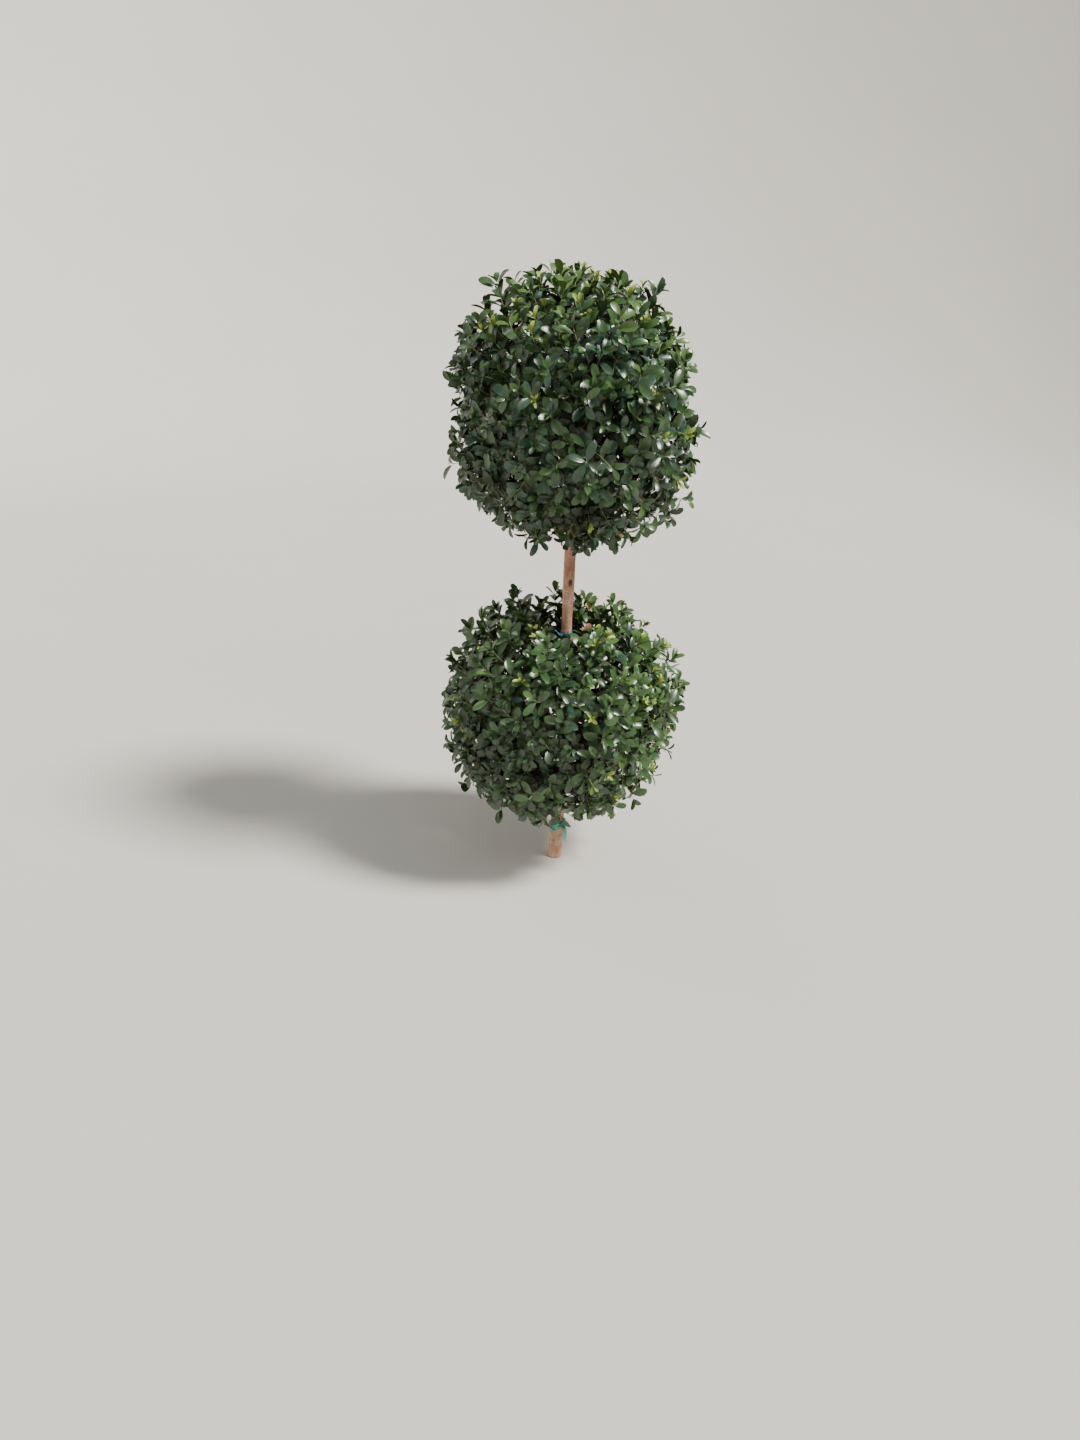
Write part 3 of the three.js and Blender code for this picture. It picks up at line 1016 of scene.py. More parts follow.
@dataclass
class Stems:
    """Many tapering stems, each along a cubic curve from its root to its tip.

    Attributes:
        root: Where each starts.
        leave: The point that it starts towards.
        arrive: The point that it ends away from.
        tip: Where each ends.
        thick: Radius of each at its root.
        thin: Radius of each at its tip.
    """

    root: Array
    leave: Array
    arrive: Array
    tip: Array
    thick: Array
    thin: Array

    def only(self, chosen: Array) -> "Stems":
        """Gives the chosen stems, in the order that they are chosen in."""
        return Stems(*(getattr(self, name)[chosen] for name in self.__dataclass_fields__))

    def at(self, share: Array) -> Array:
        """Gives points of the curves: the four points that lead each, summed by cubic weights.

        Args:
            share: Shares of each curve, as stems by places.

        Returns:
            Stems by places by three coordinates.
        """
        s = share[..., None]
        a, b, c, d = (part[:, None, :] for part in (self.root, self.leave, self.arrive, self.tip))
        return (1 - s) ** 3 * a + 3 * (1 - s) ** 2 * s * b + 3 * (1 - s) * s**2 * c + s**3 * d

    def heading(self, share: Array) -> Array:
        """Gives the curves' unit directions: the cubic's derivative.

        Args:
            share: Shares of each curve, as stems by places.

        Returns:
            Stems by places by three coordinates.
        """
        s = share[..., None]
        a, b, c, d = (part[:, None, :] for part in (self.root, self.leave, self.arrive, self.tip))
        return unit((1 - s) ** 2 * (b - a) + 2 * (1 - s) * s * (c - b) + s**2 * (d - c))

    def length(self) -> Array:
        """Measures each curve as the sum of eight chords."""
        points = self.at(np.broadcast_to(np.linspace(0, 1, 9), (len(self.root), 9)))
        return np.linalg.norm(np.diff(points, axis=1), axis=-1).sum(axis=1)

    def surface(self, rings: int, sides: int, start: float = 0.0, end: float = 1.0,
                lump: float = 0.0) -> Surface:
        """Wraps each stem in rings of points, closed at both ends.

        A ring is a circle square to the curve, and its radius falls evenly from root to tip, times
        a seeded unevenness.

        Args:
            rings: Rings for each stem.
            sides: Points in each ring.
            start: Share of the curve at the first ring.
            end: Share of the curve at the last ring.
            lump: How uneven the radius is, as a share.

        Returns:
            One surface that holds all the stems.
        """
        count = len(self.root)
        share = np.broadcast_to(np.linspace(start, end, rings), (count, rings))
        middle, heading = self.at(share), self.heading(share)
        side = unit(square_to(across(self.heading(np.full((count, 1), 0.5))), heading))
        face = np.cross(heading, side)
        angle = np.arange(sides) / sides * TURN
        ring_side = (side[:, :, None] * np.cos(angle)[:, None]
                     + face[:, :, None] * np.sin(angle)[:, None])
        radius = self.thick[:, None] + (self.thin - self.thick)[:, None] * share
        number = np.arange(count * rings * sides).reshape(count, rings, sides)
        uneven = chance(number, 2.3)
        reach = radius[..., None] * (1 + lump * (uneven - 0.5))
        skin = (middle[:, :, None] + ring_side * reach[..., None]).reshape(count, -1, 3)
        points = np.concatenate([skin, middle[:, :1], middle[:, -1:]], axis=1)
        faces = [repeated(part, count, points.shape[1]) for part in tube_faces(rings, sides)]
        relief = np.concatenate([uneven.reshape(count, -1), np.full((count, 2), 0.5)], axis=1)
        return Surface(points.reshape(-1, 3), faces,
                       facts={"relief": relief.ravel(), "scar": np.zeros(relief.size)})


@dataclass(frozen=True)
class Station:
    """A place along a leaf: its share of the length, and of the half width there."""

    along: float
    wide: float


@dataclass
class Leaves:
    """Many leaves, each a thin closed blade folded along its midrib and bent along its length.

    Attributes:
        root: Where each starts.
        along: Its unit direction.
        face: Unit direction that its upper side looks to.
        length: Its length, with the short stalk.
        share_wide: Its width as a share of its length.
        curl: How far it bends back by its tip, in radians.
        fold: How steeply its halves rise from the midrib.
        wave: How much its edges undulate.
        tint: Number of its tint.
    """

    root: Array
    along: Array
    face: Array
    length: Array
    share_wide: Array
    curl: Array
    fold: Array
    wave: Array
    tint: Array

    STATIONS = (Station(0.1, 0.1), Station(0.27, 0.63), Station(0.5, 0.97), Station(0.73, 0.95),
                Station(0.91, 0.6))
    RIB = 0.0005

    def only(self, chosen: Array) -> "Leaves":
        """Keeps the chosen leaves."""
        return Leaves(*(getattr(self, name)[chosen] for name in self.__dataclass_fields__))

    @staticmethod
    def together(groups: "list[Leaves]") -> "Leaves":
        """Puts groups of leaves in one."""
        return Leaves(*(np.concatenate([getattr(group, name) for group in groups])
                        for name in Leaves.__dataclass_fields__))

    def template(self) -> tuple[Array, Array, Array]:
        """Lays out one leaf's points: the root, four points at each station, and the tip.

        Returns:
            For each point its share of the length, its signed share of the half width, and its
            level on the midrib: 1 above, -1 below and 0 at the edges.
        """
        along, wide, level = [0.0], [0.0], [0.0]
        for station in self.STATIONS:
            along += [station.along] * 4
            wide += [station.wide, -station.wide, 0.0, 0.0]
            level += [0.0, 0.0, 1.0, -1.0]
        return np.array([*along, 1.0]), np.array([*wide, 0.0]), np.array([*level, 0.0])

    def blade_points(self) -> Array:
        """Places every leaf's points.

        The midrib is an arc of a circle whose whole turn is the curl. Each half rises from it by
        the fold times the distance across, with a sine wave along the edge, and the rib has its own
        thickness above and below.

        Returns:
            Leaves by points by three coordinates.
        """
        along, wide, level = self.template()
        bend = np.maximum(self.curl, 1e-3)[:, None]
        ahead, down = np.sin(bend * along) / bend, (1 - np.cos(bend * along)) / bend
        half = (self.length * self.share_wide / 2)[:, None]
        aside = half * wide
        ripple = self.wave[:, None] * np.sin(along * 9 + self.wave[:, None] * 40 + wide)
        lift = np.abs(aside) * (self.fold[:, None] + ripple) + level * self.RIB / 2
        side = np.cross(self.face, self.along)[:, None]
        axis, face = self.along[:, None], self.face[:, None]
        lean = (bend * along)[..., None]
        normal = axis * np.sin(lean) + face * np.cos(lean)
        length = self.length[:, None, None]
        spine = self.root[:, None] + (axis * ahead[..., None] - face * down[..., None]) * length
        return spine + side * aside[..., None] + normal * lift[..., None]

    def blade_faces(self) -> tuple[list[Array], list[int]]:
        """Lists one leaf's faces.

        Returns:
            Groups of faces, and for each group 0 on the upper side and 1 on the underside.
        """
        groups, sides = [], []
        tip = 1 + 4 * len(self.STATIONS)
        for rib, kind in ((2, 0), (3, 1)):
            starts = np.arange(len(self.STATIONS)) * 4 + 1
            left, right, middle = starts, starts + 1, starts + rib
            strips = np.concatenate([
                np.stack([right[:-1], right[1:], middle[1:], middle[:-1]], -1),
                np.stack([middle[:-1], middle[1:], left[1:], left[:-1]], -1)])
            ends = np.array([[0, right[0], middle[0]], [0, middle[0], left[0]],
                             [right[-1], tip, middle[-1]], [middle[-1], tip, left[-1]]])
            for group in (strips, ends):
                groups.append(group if kind == 0 else group[:, ::-1])
                sides.append(kind)
        return groups, sides

    def surface(self) -> Surface:
        """Wraps the leaves up.

        Returns:
            One surface that holds all of them, with the place over each blade.
        """
        along, wide, level = self.template()
        points = self.blade_points()
        count, step = points.shape[:2]
        groups, sides = self.blade_faces()
        place = np.stack([wide / 2 + 0.5, along], -1)
        faces = [repeated(group, count, step) for group in groups]
        return Surface(points.reshape(-1, 3), faces, sides, rim=np.tile(level == 0, count),
                       place=np.tile(place, (count, 1)))


@dataclass(frozen=True)
class Stage:
    """A pair of leaves on a twig: how far back from its tip, how long, and how far open."""

    back: float
    length: float
    open: float
    young: bool = False


class Habit(Enum):
    """How a twig ends: clipped back, in a tuft of young leaves, or as a long shoot."""

    CLIPPED = (
        Stage(0.000, 0.019, 26), Stage(0.004, 0.030, 46), Stage(0.011, 0.035, 57),
        Stage(0.023, 0.037, 66), Stage(0.038, 0.036, 72), Stage(0.055, 0.034, 78),
        Stage(0.074, 0.032, 84))
    TUFTED = (
        Stage(0.000, 0.009, 9, True), Stage(0.001, 0.013, 20, True), Stage(0.004, 0.017, 33, True),
        Stage(0.008, 0.022, 44), Stage(0.015, 0.030, 54), Stage(0.025, 0.035, 62),
        Stage(0.039, 0.036, 70), Stage(0.055, 0.034, 77))
    SHOOT = (
        Stage(0.000, 0.026, 27), Stage(0.009, 0.034, 50), Stage(0.025, 0.038, 60),
        Stage(0.043, 0.039, 65), Stage(0.061, 0.038, 69), Stage(0.077, 0.036, 73),
        Stage(0.092, 0.033, 77))


CLIPPED_END, TUFTED_END, SHOOT_END = range(len(Habit))


class Purpose(IntEnum):
    """What a ball's seeded draws are for. A way in space takes three numbers in a row."""

    SPRAY_WAY = 4
    SPRAY_PAST = 7
    SPRAY_TURN = 9
    LIMB_START = 12
    TWIG_WAY = 14
    TWIG_RECESS = 17
    TWIG_START = 18
    TUFT = 19
    PAIR_SPACING = 20
    PAIR_TURN = 21
    LEAF_TURN = 22
    LEAF_OPEN = 23
    LEAF_WAY = 24
    LEAF_TILT = 27
    LEAF_SIZE = 30
    LEAF_WIDTH = 31
    LEAF_CURL = 32
    LEAF_FOLD = 33
    LEAF_WAVE = 34
    SPRAY_TONE = 35
    TWIG_TONE = 36
    LEAF_TONE = 37
    YELLOW_LEAF = 38
    DRY_LEAF = 39
    SPRAY_RECESS = 40
    MISSING_TWIG = 41
    VIGOUR = 42
    ESCAPE = 44


@dataclass
class Twigs:
    """The finest stems of a ball, which carry the leaves.

    Attributes:
        stems: Their curves.
        facing: The direction from the ball's middle that each belongs to.
        spray: Number of the spray that each belongs to.
        habit: Number of each one's habit.
        number: Each one's own number, for its draws.
    """

    stems: Stems
    facing: Array
    spray: Array
    habit: Array
    number: Array

    def only(self, chosen: Array) -> "Twigs":
        """Keeps the chosen twigs."""
        return Twigs(self.stems.only(chosen), self.facing[chosen], self.spray[chosen],
                     self.habit[chosen], self.number[chosen])


@dataclass(frozen=True)
class Growth:
    """How one ball looks: how young and how blue its leaves are, and where a dry twig stands.

    Attributes:
        shape: The ball's outline.
        young: Least share of twigs that end in a young tuft.
        young_top: How much that share grows towards the top.
        young_right: How much it grows towards +X.
        painted_light_top: How much lighter the leaves' tints are towards the top, as painted light.
        blue_band: How much of the leaves' tone is blue green.
        openness: How open the foliage is, as a share of the hollows.
        dry_place: Where the nearest twig ends in dry leaves, or None.
    """

    shape: BallShape
    young: float
    young_top: float
    young_right: float
    painted_light_top: float
    blue_band: float
    openness: float
    dry_place: tuple[float, float, float] | None


LOWER_GROWTH = Growth(
    shape=LOWER_BALL, young=0.09, young_top=0.12, young_right=0.24, painted_light_top=0.13,
    blue_band=0.04, openness=0.6, dry_place=(0.0463, -0.038, 0.4887))
UPPER_GROWTH = Growth(
    shape=UPPER_BALL, young=0.01, young_top=0.72, young_right=0.16, painted_light_top=0.25,
    blue_band=0.14, openness=1.0, dry_place=None)


@dataclass(frozen=True)
class Canopy:
    """One clipped ball: boughs from the trunk, a limb for each spray, finer twigs, and leaves.

    Attributes:
        growth: The ball's outline and looks.
        trunk: The trunk that the boughs start from.
        ties: The ties that leaves keep off.
        sprays: Sprays spread evenly over the ball, as in the solid.
        finer: Twigs that each spray is carried to.
        boughs: Main boughs in the ball.
    """

    growth: Growth
    trunk: Trunk
    ties: "tuple[PlantTie, ...]"
    sprays: int = 66
    finer: int = 8
    boughs: int = 13

    # Sprays, boughs and limbs
    JITTER = 0.11  # how far a spray lies astray of its spiral
    PROUD_EVERY, PROUD_FIRST = 9, 4  # which sprays stand proud
    PROUD_LEAST, PROUD_RANGE = 0.008, 0.012  # how far they do
    BOUGH_SHARE, LIMB_SHARE = 0.34, 0.62  # shares of the reach that boughs and limbs end at
    BOUGH_RADII, LIMB_RADII = (0.0052, 0.0030), (0.0027, 0.0015)  # at the root and the tip

    # Twigs
    SHOOT_TWIGS = 3  # twigs of each shoot
    SPREAD, SHOOT_SPREAD = 0.25, 0.13  # how far a spray's and a shoot's twigs lean apart
    END_LEAF, SHOOT_END_LEAF = 0.006, 0.026  # room for the leaves past a twig's and a shoot's tip
    RECESS, SPRAY_RECESS, HOLLOW_RECESS = 0.034, 0.006, 0.024  # how far twigs end short
    STRAY = 0.012  # how far the longest clipped twigs pass the outline
    ESCAPING, ESCAPE = 0.82, 0.022  # the draw from which twigs escape clipping, and how far
    OPEN_ESCAPE = 0.3  # the share of that way from which they bear leaves like a shoot
    MISSING, MISSING_IN_HOLLOWS = 0.05, 0.5  # shares of the twigs that are left out
    HOLLOW_WAVES = 8.0  # how closely the hollows follow one another
    MOST_YOUNG = 0.85  # the most that the share of tufted twigs comes to
    FIRST_RADIUS, TWIG_RADIUS, SHOOT_TIP, TWIG_TIP = 0.0016, 0.0012, 0.0008, 0.0005

    # Room for leaves and twigs
    BOX_PAST = 0.012  # how far leaves may pass their own solid's box
    BOX_ROOM, TWIG_ROOM = 0.012, 0.003  # how far clipped and escaping twigs stay inside it
    SPACE_SHARE = 1.12  # share of the outline's reach that clipped leaves stay inside
    KEEP_OFF = 0.004  # how far twigs and leaves stay off the trunk and the ground
    TIE_KEEP_RADIUS, TIE_KEEP_HEIGHT = 0.025, 0.017  # the room round a tie
    PARTING_LENGTH = 0.17  # how long the parting in front of it is

    # Leaves, where a pair of numbers is for young and for grown ones
    DRAWS_PER_TWIG = 41  # a leaf's number is its twig's number times this, plus its place
    LEAST_SHARE = 0.08  # the share of a twig from which it bears leaves
    SPACING_SPREAD, TURN_SPREAD, PAIR_TWIST = 0.24, 0.5, 0.12  # how uneven the pairs are
    OPEN_SPREAD = 30  # how unevenly leaves open, in degrees
    ERECT = 0.42  # how much less a leaf opens from an upright twig
    ASTRAY, TILT, TO_SKY = 0.58, 1.15, 0.65  # turns of a leaf and of its upper side
    LEAST_SIZE, SIZE_SPREAD, VIGOUR = (0.62, 0.71), (0.6, 0.28), 0.14  # of its stage's length
    WIDTH, WIDTH_SPREAD = (0.33, 0.425), 0.12  # of its own length
    FOLD, FOLD_SPREAD = (0.45, 0.2), 0.36
    CURL, CURL_SPREAD, WAVE = 0.25, 0.7, 0.12

    # Tints
    SPRAY_TONE, TWIG_TONE, LEAF_TONE = 0.34, 0.33, 0.33  # shares of the tone
    TUFT_TONE, TIP_TONE, AGE_TONE = 0.34, 0.16, 0.04  # what youth adds, and age takes
    YOUNG_PAIRS = 4  # the last pair of a tuft that is fresher
    PAINTED_LIGHT_RIGHT = 0.1  # how much lighter the tints are towards +X, as painted light
    DEEP_BELOW, FRESH_FROM = 0.38, 0.85  # bands of the tone
    YELLOW_SHARE, DRY_SHARE, DRY_REACH = 0.001, 0.0003, 0.03
    DRY_PAIRS = 3  # how many pairs are dry on the dry twig

    @property
    def shape(self) -> BallShape:
        """The ball's outline."""
        return self.growth.shape

    @property
    def centre(self) -> Array:
        """The ball's middle, as an array."""
        return np.array(self.shape.centre)

    def draw(self, index: Array, purpose: int) -> Array:
        """Draws numbers of this ball's own for a purpose."""
        return chance(index, self.shape.seed + purpose)

    def astray(self, index: Array, purpose: int) -> Array:
        """Draws ways in space for a purpose, each coordinate from -0.5 to 0.5."""
        return np.stack([self.draw(index, purpose + step) for step in range(3)], -1) - 0.5

    def spray_directions(self) -> tuple[Array, Array]:
        """Gives the directions of the sprays and shoots by the solid's rule.

        The sprays lie on a golden-angle spiral, a little astray, and some stand proud. The shoots
        follow.

        Returns:
            Unit directions, and how far each passes the outline.
        """
        index = np.arange(self.sprays)
        level = 1 - 2 * (index + 0.5) / self.sprays
        turn = index * GOLDEN_ANGLE + self.shape.seed
        flat = np.sqrt(1 - level**2)
        spiral = np.stack([flat * np.cos(turn), flat * np.sin(turn), level], -1)
        even = unit(spiral + self.JITTER * self.astray(index, Purpose.SPRAY_WAY))
        proud = index % self.PROUD_EVERY == self.PROUD_FIRST
        drawn = self.PROUD_LEAST + self.PROUD_RANGE * self.draw(index, Purpose.SPRAY_PAST)
        past = np.where(proud, drawn, 0)
        shoots = np.array([toward(shoot.azimuth, shoot.elevation) for shoot in self.shape.shoots])
        shoots_past = np.array([shoot.past for shoot in self.shape.shoots])
        return np.concatenate([even, shoots]), np.concatenate([past, shoots_past])

    def is_free(self, points: Array, room: Array | float) -> Array:
        """Tells whether points stay off the trunk, the ties and the ground.

        The foliage is also parted in front of each tie, along a line towards the photographer.

        Args:
            points: The points.
            room: How far they have to stay off.

        Returns:
            Whether each does.
        """
        height = np.clip(points[..., 2], 0, self.trunk.fork_height)
        middle = self.trunk.middle(height)
        away = np.hypot(points[..., 0] - middle[..., 0], points[..., 1] - middle[..., 1])
        above = points[..., 2] > self.trunk.fork_height + room
        clear = (away > self.trunk.radius(height) + room) | above
        for tie in self.ties:
            beside = np.abs(points[..., 2] - tie.height) < self.TIE_KEEP_HEIGHT
            clear &= ~(beside & (away < self.TIE_KEEP_RADIUS))
            shown = self.trunk.middle(tie.height) + np.array(tie.shown)
            sight = unit(np.array(Studio.eye) - shown)
            along = (points - shown) @ sight
            aside = np.linalg.norm(square_to(points - shown, sight), axis=-1)
            clear &= ~((aside < tie.parting) & (along > 0) & (along < self.PARTING_LENGTH))
        return clear & (points[..., 2] > room)

    def box(self) -> tuple[Array, Array]:
        """Gives the corners of the box that the leaves keep to: the solid's, or a little wider.

        It is wider where the box of both balls together leaves room.

        Returns:
            Its lowest and its highest corner.
        """
        low, high = (np.array(corner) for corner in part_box(self.shape.node))
        corners = [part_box(ball.node) for ball in (LOWER_BALL, UPPER_BALL)]
        lowest = np.min([corner[0] for corner in corners], axis=0)
        highest = np.max([corner[1] for corner in corners], axis=0)
        return np.maximum(low - self.BOX_PAST, lowest), np.minimum(high + self.BOX_PAST, highest)

    def box_reach(self, directions: Array) -> Array:
        """Gives the distance from the middle to the sides of the leaves' box.

        Args:
            directions: Unit vectors.

        Returns:
            The distance along each.
        """
        low, high = (corner - self.centre for corner in self.box())
        steep = np.where(np.abs(directions) < 1e-9, 1e-9, directions)
        return np.where(steep > 0, high / steep, low / steep).min(axis=-1)

    def hollows(self, facing: Array) -> Array:
        """Says how hollow the foliage is: the mean of three sines over the ball, smoothed.

        Args:
            facing: Unit vectors.

        Returns:
            From 0 to 1 along each.
        """
        x, y, z = (self.HOLLOW_WAVES * facing[..., axis] + self.shape.seed for axis in range(3))
        waves = (np.sin(x + 0.7 * y) + np.sin(y - 0.8 * z) + np.sin(z + 0.6 * x)) / 3
        return smooth(0.1, 0.75, waves)

    def main_boughs(self) -> Stems:
        """Grows the main boughs out of the trunk, in directions along a golden-angle spiral.

        Returns:
            The boughs.
        """
        index = np.arange(self.boughs)
        level = 0.92 - 1.7 * (index + 0.5) / self.boughs
        turn = index * GOLDEN_ANGLE + self.shape.seed * 2
        flat = np.sqrt(1 - level**2)
        facing = np.stack([flat * np.cos(turn), flat * np.sin(turn), level], -1)
        low, high = self.shape.forks
        fork = low + (high - low) * np.clip(level * 0.55 + 0.5, 0, 1)
        root = self.trunk.middle(fork)
        tip = self.centre + facing * (self.shape.reach(facing) * self.BOUGH_SHARE)[:, None]
        span = np.linalg.norm(tip - root, axis=-1, keepdims=True)
        outward = unit(facing * [1, 1, 0.2] + 0.5 * UP)
        thick, thin = (np.full(self.boughs, radius) for radius in self.BOUGH_RADII)
        return Stems(root, root + outward * span * 0.4,
                     tip - unit(facing + 0.15 * UP) * span * 0.35, tip, thick, thin)

    def limbs(self, boughs: Stems, directions: Array) -> Stems:
        """Grows a limb for each spray out of the bough that points most nearly its way.

        Args:
            boughs: The main boughs.
            directions: The sprays' directions.

        Returns:
            The limbs.
        """
        ways = unit(boughs.tip - self.centre)
        nearest = (directions @ ways.T).argmax(axis=1)
        start = 0.62 + 0.38 * self.draw(np.arange(len(directions)), Purpose.LIMB_START)
        own = boughs.only(nearest)
        root, heading = own.at(start[:, None])[:, 0], own.heading(start[:, None])[:, 0]
        tip = self.centre + directions * (self.shape.reach(directions) * self.LIMB_SHARE)[:, None]
        span = np.linalg.norm(tip - root, axis=-1, keepdims=True)
        thick, thin = (np.full(len(root), radius) for radius in self.LIMB_RADII)
        return Stems(root, root + heading * span * 0.35,
                     tip - unit(directions + 0.1 * UP) * span * 0.35, tip, thick, thin)

    def twigs(self, limbs: Stems, directions: Array, past: Array) -> Twigs:
        """Carries each spray to finer twigs.

        A spray's first twig runs on in its own direction. The rest lie round it on a small
        golden-angle disc, start further down the limb the further they lean, and end at the outline
        less the end leaves and a drawn recess. A few escape the clipping and pass it.

        Args:
            limbs: The sprays' limbs.
            directions: Their directions.
            past: How far each passes the outline.

        Returns:
            The twigs.
        """
        is_shoot = np.arange(len(directions)) >= self.sprays
        counts = np.where(is_shoot, self.SHOOT_TWIGS, self.finer)
        spray = np.repeat(np.arange(len(directions)), counts)
        child = np.arange(len(spray)) - np.repeat(np.cumsum(counts) - counts, counts)
        number = np.arange(len(spray))
        shoot = is_shoot[spray]
        ring = np.sqrt(child / (counts[spray] - 1))
        lean = ring * np.where(shoot, self.SHOOT_SPREAD, self.SPREAD)
        angle = child * GOLDEN_ANGLE + TURN * self.draw(spray, Purpose.SPRAY_TURN)
        side = across(directions[spray])
        face = np.cross(directions[spray], side)
        aside = side * np.cos(angle)[:, None] + face * np.sin(angle)[:, None]
        astray = self.astray(number, Purpose.TWIG_WAY)
        facing = unit(directions[spray] + aside * lean[:, None] + astray * 0.05)
        first = child == 0
        beyond = np.where(first, past[spray], 0)
        hollow = self.growth.openness * self.hollows(facing) * (1 - smooth(0.7, 0.92, facing[:, 2]))
        escaping = smooth(self.ESCAPING, 1, self.draw(number, Purpose.ESCAPE))
        recess = (self.RECESS * self.draw(number, Purpose.TWIG_RECESS)
                  + self.SPRAY_RECESS * self.draw(spray, Purpose.SPRAY_RECESS)
                  - self.STRAY - self.ESCAPE * escaping + self.HOLLOW_RECESS * hollow)
        recess = self.END_LEAF + np.where(beyond > 0, 0, recess)
        outline, box = self.shape.reach(facing), self.box_reach(facing)
        inside = np.minimum(np.minimum(outline, box - self.BOX_ROOM) - recess, box - self.TWIG_ROOM)
        reach = np.where(shoot & first, outline - self.SHOOT_END_LEAF, inside) + beyond
        tip = self.centre + facing * reach[:, None] + UP * (beyond * 0.25)[:, None]
        start = 0.98 - 0.5 * ring * self.draw(number, Purpose.TWIG_START)
        own = limbs.only(spray)
        root, heading = own.at(start[:, None])[:, 0], own.heading(start[:, None])[:, 0]
        span = np.linalg.norm(tip - root, axis=-1, keepdims=True)
        rising = (0.3 + 0.5 * np.maximum(0, facing[:, 2]))[:, None]
        ending = unit(facing + rising * UP + 1.1 * astray)
        stems = Stems(root, root + unit(heading + aside * lean[:, None] * 2) * span * 0.33,
                      tip - ending * span * 0.38, tip,
                      np.where(first, self.FIRST_RADIUS, self.TWIG_RADIUS),
                      np.where(shoot & first, self.SHOOT_TIP, self.TWIG_TIP))
        share = np.clip(self.growth.young + self.growth.young_top * np.maximum(0, facing[:, 2]) ** 2
                        + self.growth.young_right * np.maximum(0, facing[:, 0]),
                        0, self.MOST_YOUNG)
        tufted = self.draw(number, Purpose.TUFT) < share
        habit = np.select([shoot & first, tufted, escaping > self.OPEN_ESCAPE],
                          [SHOOT_END, TUFTED_END, SHOOT_END], CLIPPED_END)
        grown = Twigs(stems, facing, spray, habit, number)
        places = stems.at(np.broadcast_to(np.linspace(0.3, 1, 6), (len(root), 6)))
        missing = self.MISSING + self.MISSING_IN_HOLLOWS * hollow
        kept = (beyond > 0) | (self.draw(number, Purpose.MISSING_TWIG) > missing)
        return grown.only(kept & self.is_free(places, self.KEEP_OFF).all(axis=1))

    def leaves(self, twigs: Twigs) -> Leaves:
        """Grows the leaves of all twigs, one habit after the other.

        Args:
            twigs: The twigs.

        Returns:
            The leaves that stay free of the trunk and the ties, and inside their box.
        """
        groups = []
        for number, habit in enumerate(Habit):
            chosen = twigs.only(twigs.habit == number)
            groups.append(self.pairs(chosen, habit.value))
        leaves = Leaves.together(groups)
        points = leaves.blade_points()
        free = self.is_free(points, self.KEEP_OFF).all(axis=1)
        low, high = self.box()
        inside = ((points > low) & (points < high)).all(axis=(1, 2))
        return leaves.only(free & inside)

    def pairs(self, twigs: Twigs, stages: tuple[Stage, ...]) -> Leaves:
        """Grows opposite pairs of leaves on twigs, each pair a quarter turn from the one before.

        A leaf opens from the twig by its stage's angle, less where the twig stands upright. Its
        upper side looks to the twig's tip, and turns a little to the sky, to the outside of the
        ball and to the open side of the garden.

        Args:
            twigs: The twigs, all of one habit.
            stages: The pairs, from the tip down.

        Returns:
            The leaves that find room on their twigs and inside the outline.
        """
        back = np.array([stage.back for stage in stages])
        drawn = self.draw(twigs.number, Purpose.PAIR_SPACING)[:, None]
        jog = 1 + self.SPACING_SPREAD * (drawn - 0.5)
        share = 1 - back * jog / twigs.stems.length()[:, None]
        node, heading = twigs.stems.at(share), twigs.stems.heading(share)
        side = unit(square_to(across(twigs.facing)[:, None], heading))
        face = np.cross(heading, side)
        level = np.arange(len(stages))[None, :, None]
        partner = np.arange(2)[None, None, :]
        number = twigs.number[:, None, None] * self.DRAWS_PER_TWIG + level * 2 + partner
        turn = (TURN * self.draw(twigs.number, Purpose.PAIR_TURN)[:, None, None]
                + level * (TURN / 4 + self.PAIR_TWIST) + partner * TURN / 2
                + self.TURN_SPREAD * (self.draw(number, Purpose.LEAF_TURN) - 0.5))[..., None]
        outward = side[:, :, None] * np.cos(turn) + face[:, :, None] * np.sin(turn)
        open_by = np.array([stage.open for stage in stages])[None, :, None]
        ahead = heading[:, :, None]
        erect = 1 - self.ERECT * np.maximum(0, ahead[..., 2]) ** 2
        open_by = open_by + self.OPEN_SPREAD * (self.draw(number, Purpose.LEAF_OPEN) - 0.5)
        opened = np.radians(erect * open_by)[..., None]
        astray = self.astray(number, Purpose.LEAF_WAY)
        along = unit(ahead * np.cos(opened) + outward * np.sin(opened) + astray * self.ASTRAY)
        flank = np.abs(twigs.facing[:, :1])
        sky = unit(0.5 * twigs.facing + 0.7 * UP + (0.8 + 0.5 * flank) * GARDEN_SIDE)[:, None, None]
        tilt = self.astray(number, Purpose.LEAF_TILT)
        to_tip = unit(square_to(ahead, along)) * (1 - 0.5 * flank)[:, None, None]
        upward = unit(square_to(to_tip + self.TO_SKY * sky + self.TILT * tilt, along))
        young = np.array([stage.young for stage in stages])[None, :, None]
        size = np.array([stage.length for stage in stages])[None, :, None]
        least, spread = np.where(young, *self.LEAST_SIZE), np.where(young, *self.SIZE_SPREAD)
        vigour = self.VIGOUR * self.draw(twigs.number, Purpose.VIGOUR)[:, None, None]
        length = size * (least + spread * self.draw(number, Purpose.LEAF_SIZE) + vigour)
        shown = np.broadcast_to((share > self.LEAST_SHARE)[..., None], length.shape)
        along_tip = node[:, :, None] + along * length[..., None]
        spoke = along_tip - self.centre
        room = self.shape.reach(unit(spoke)) * self.SPACE_SHARE
        proud = twigs.spray % self.PROUD_EVERY == self.PROUD_FIRST
        proud |= twigs.habit == SHOOT_END
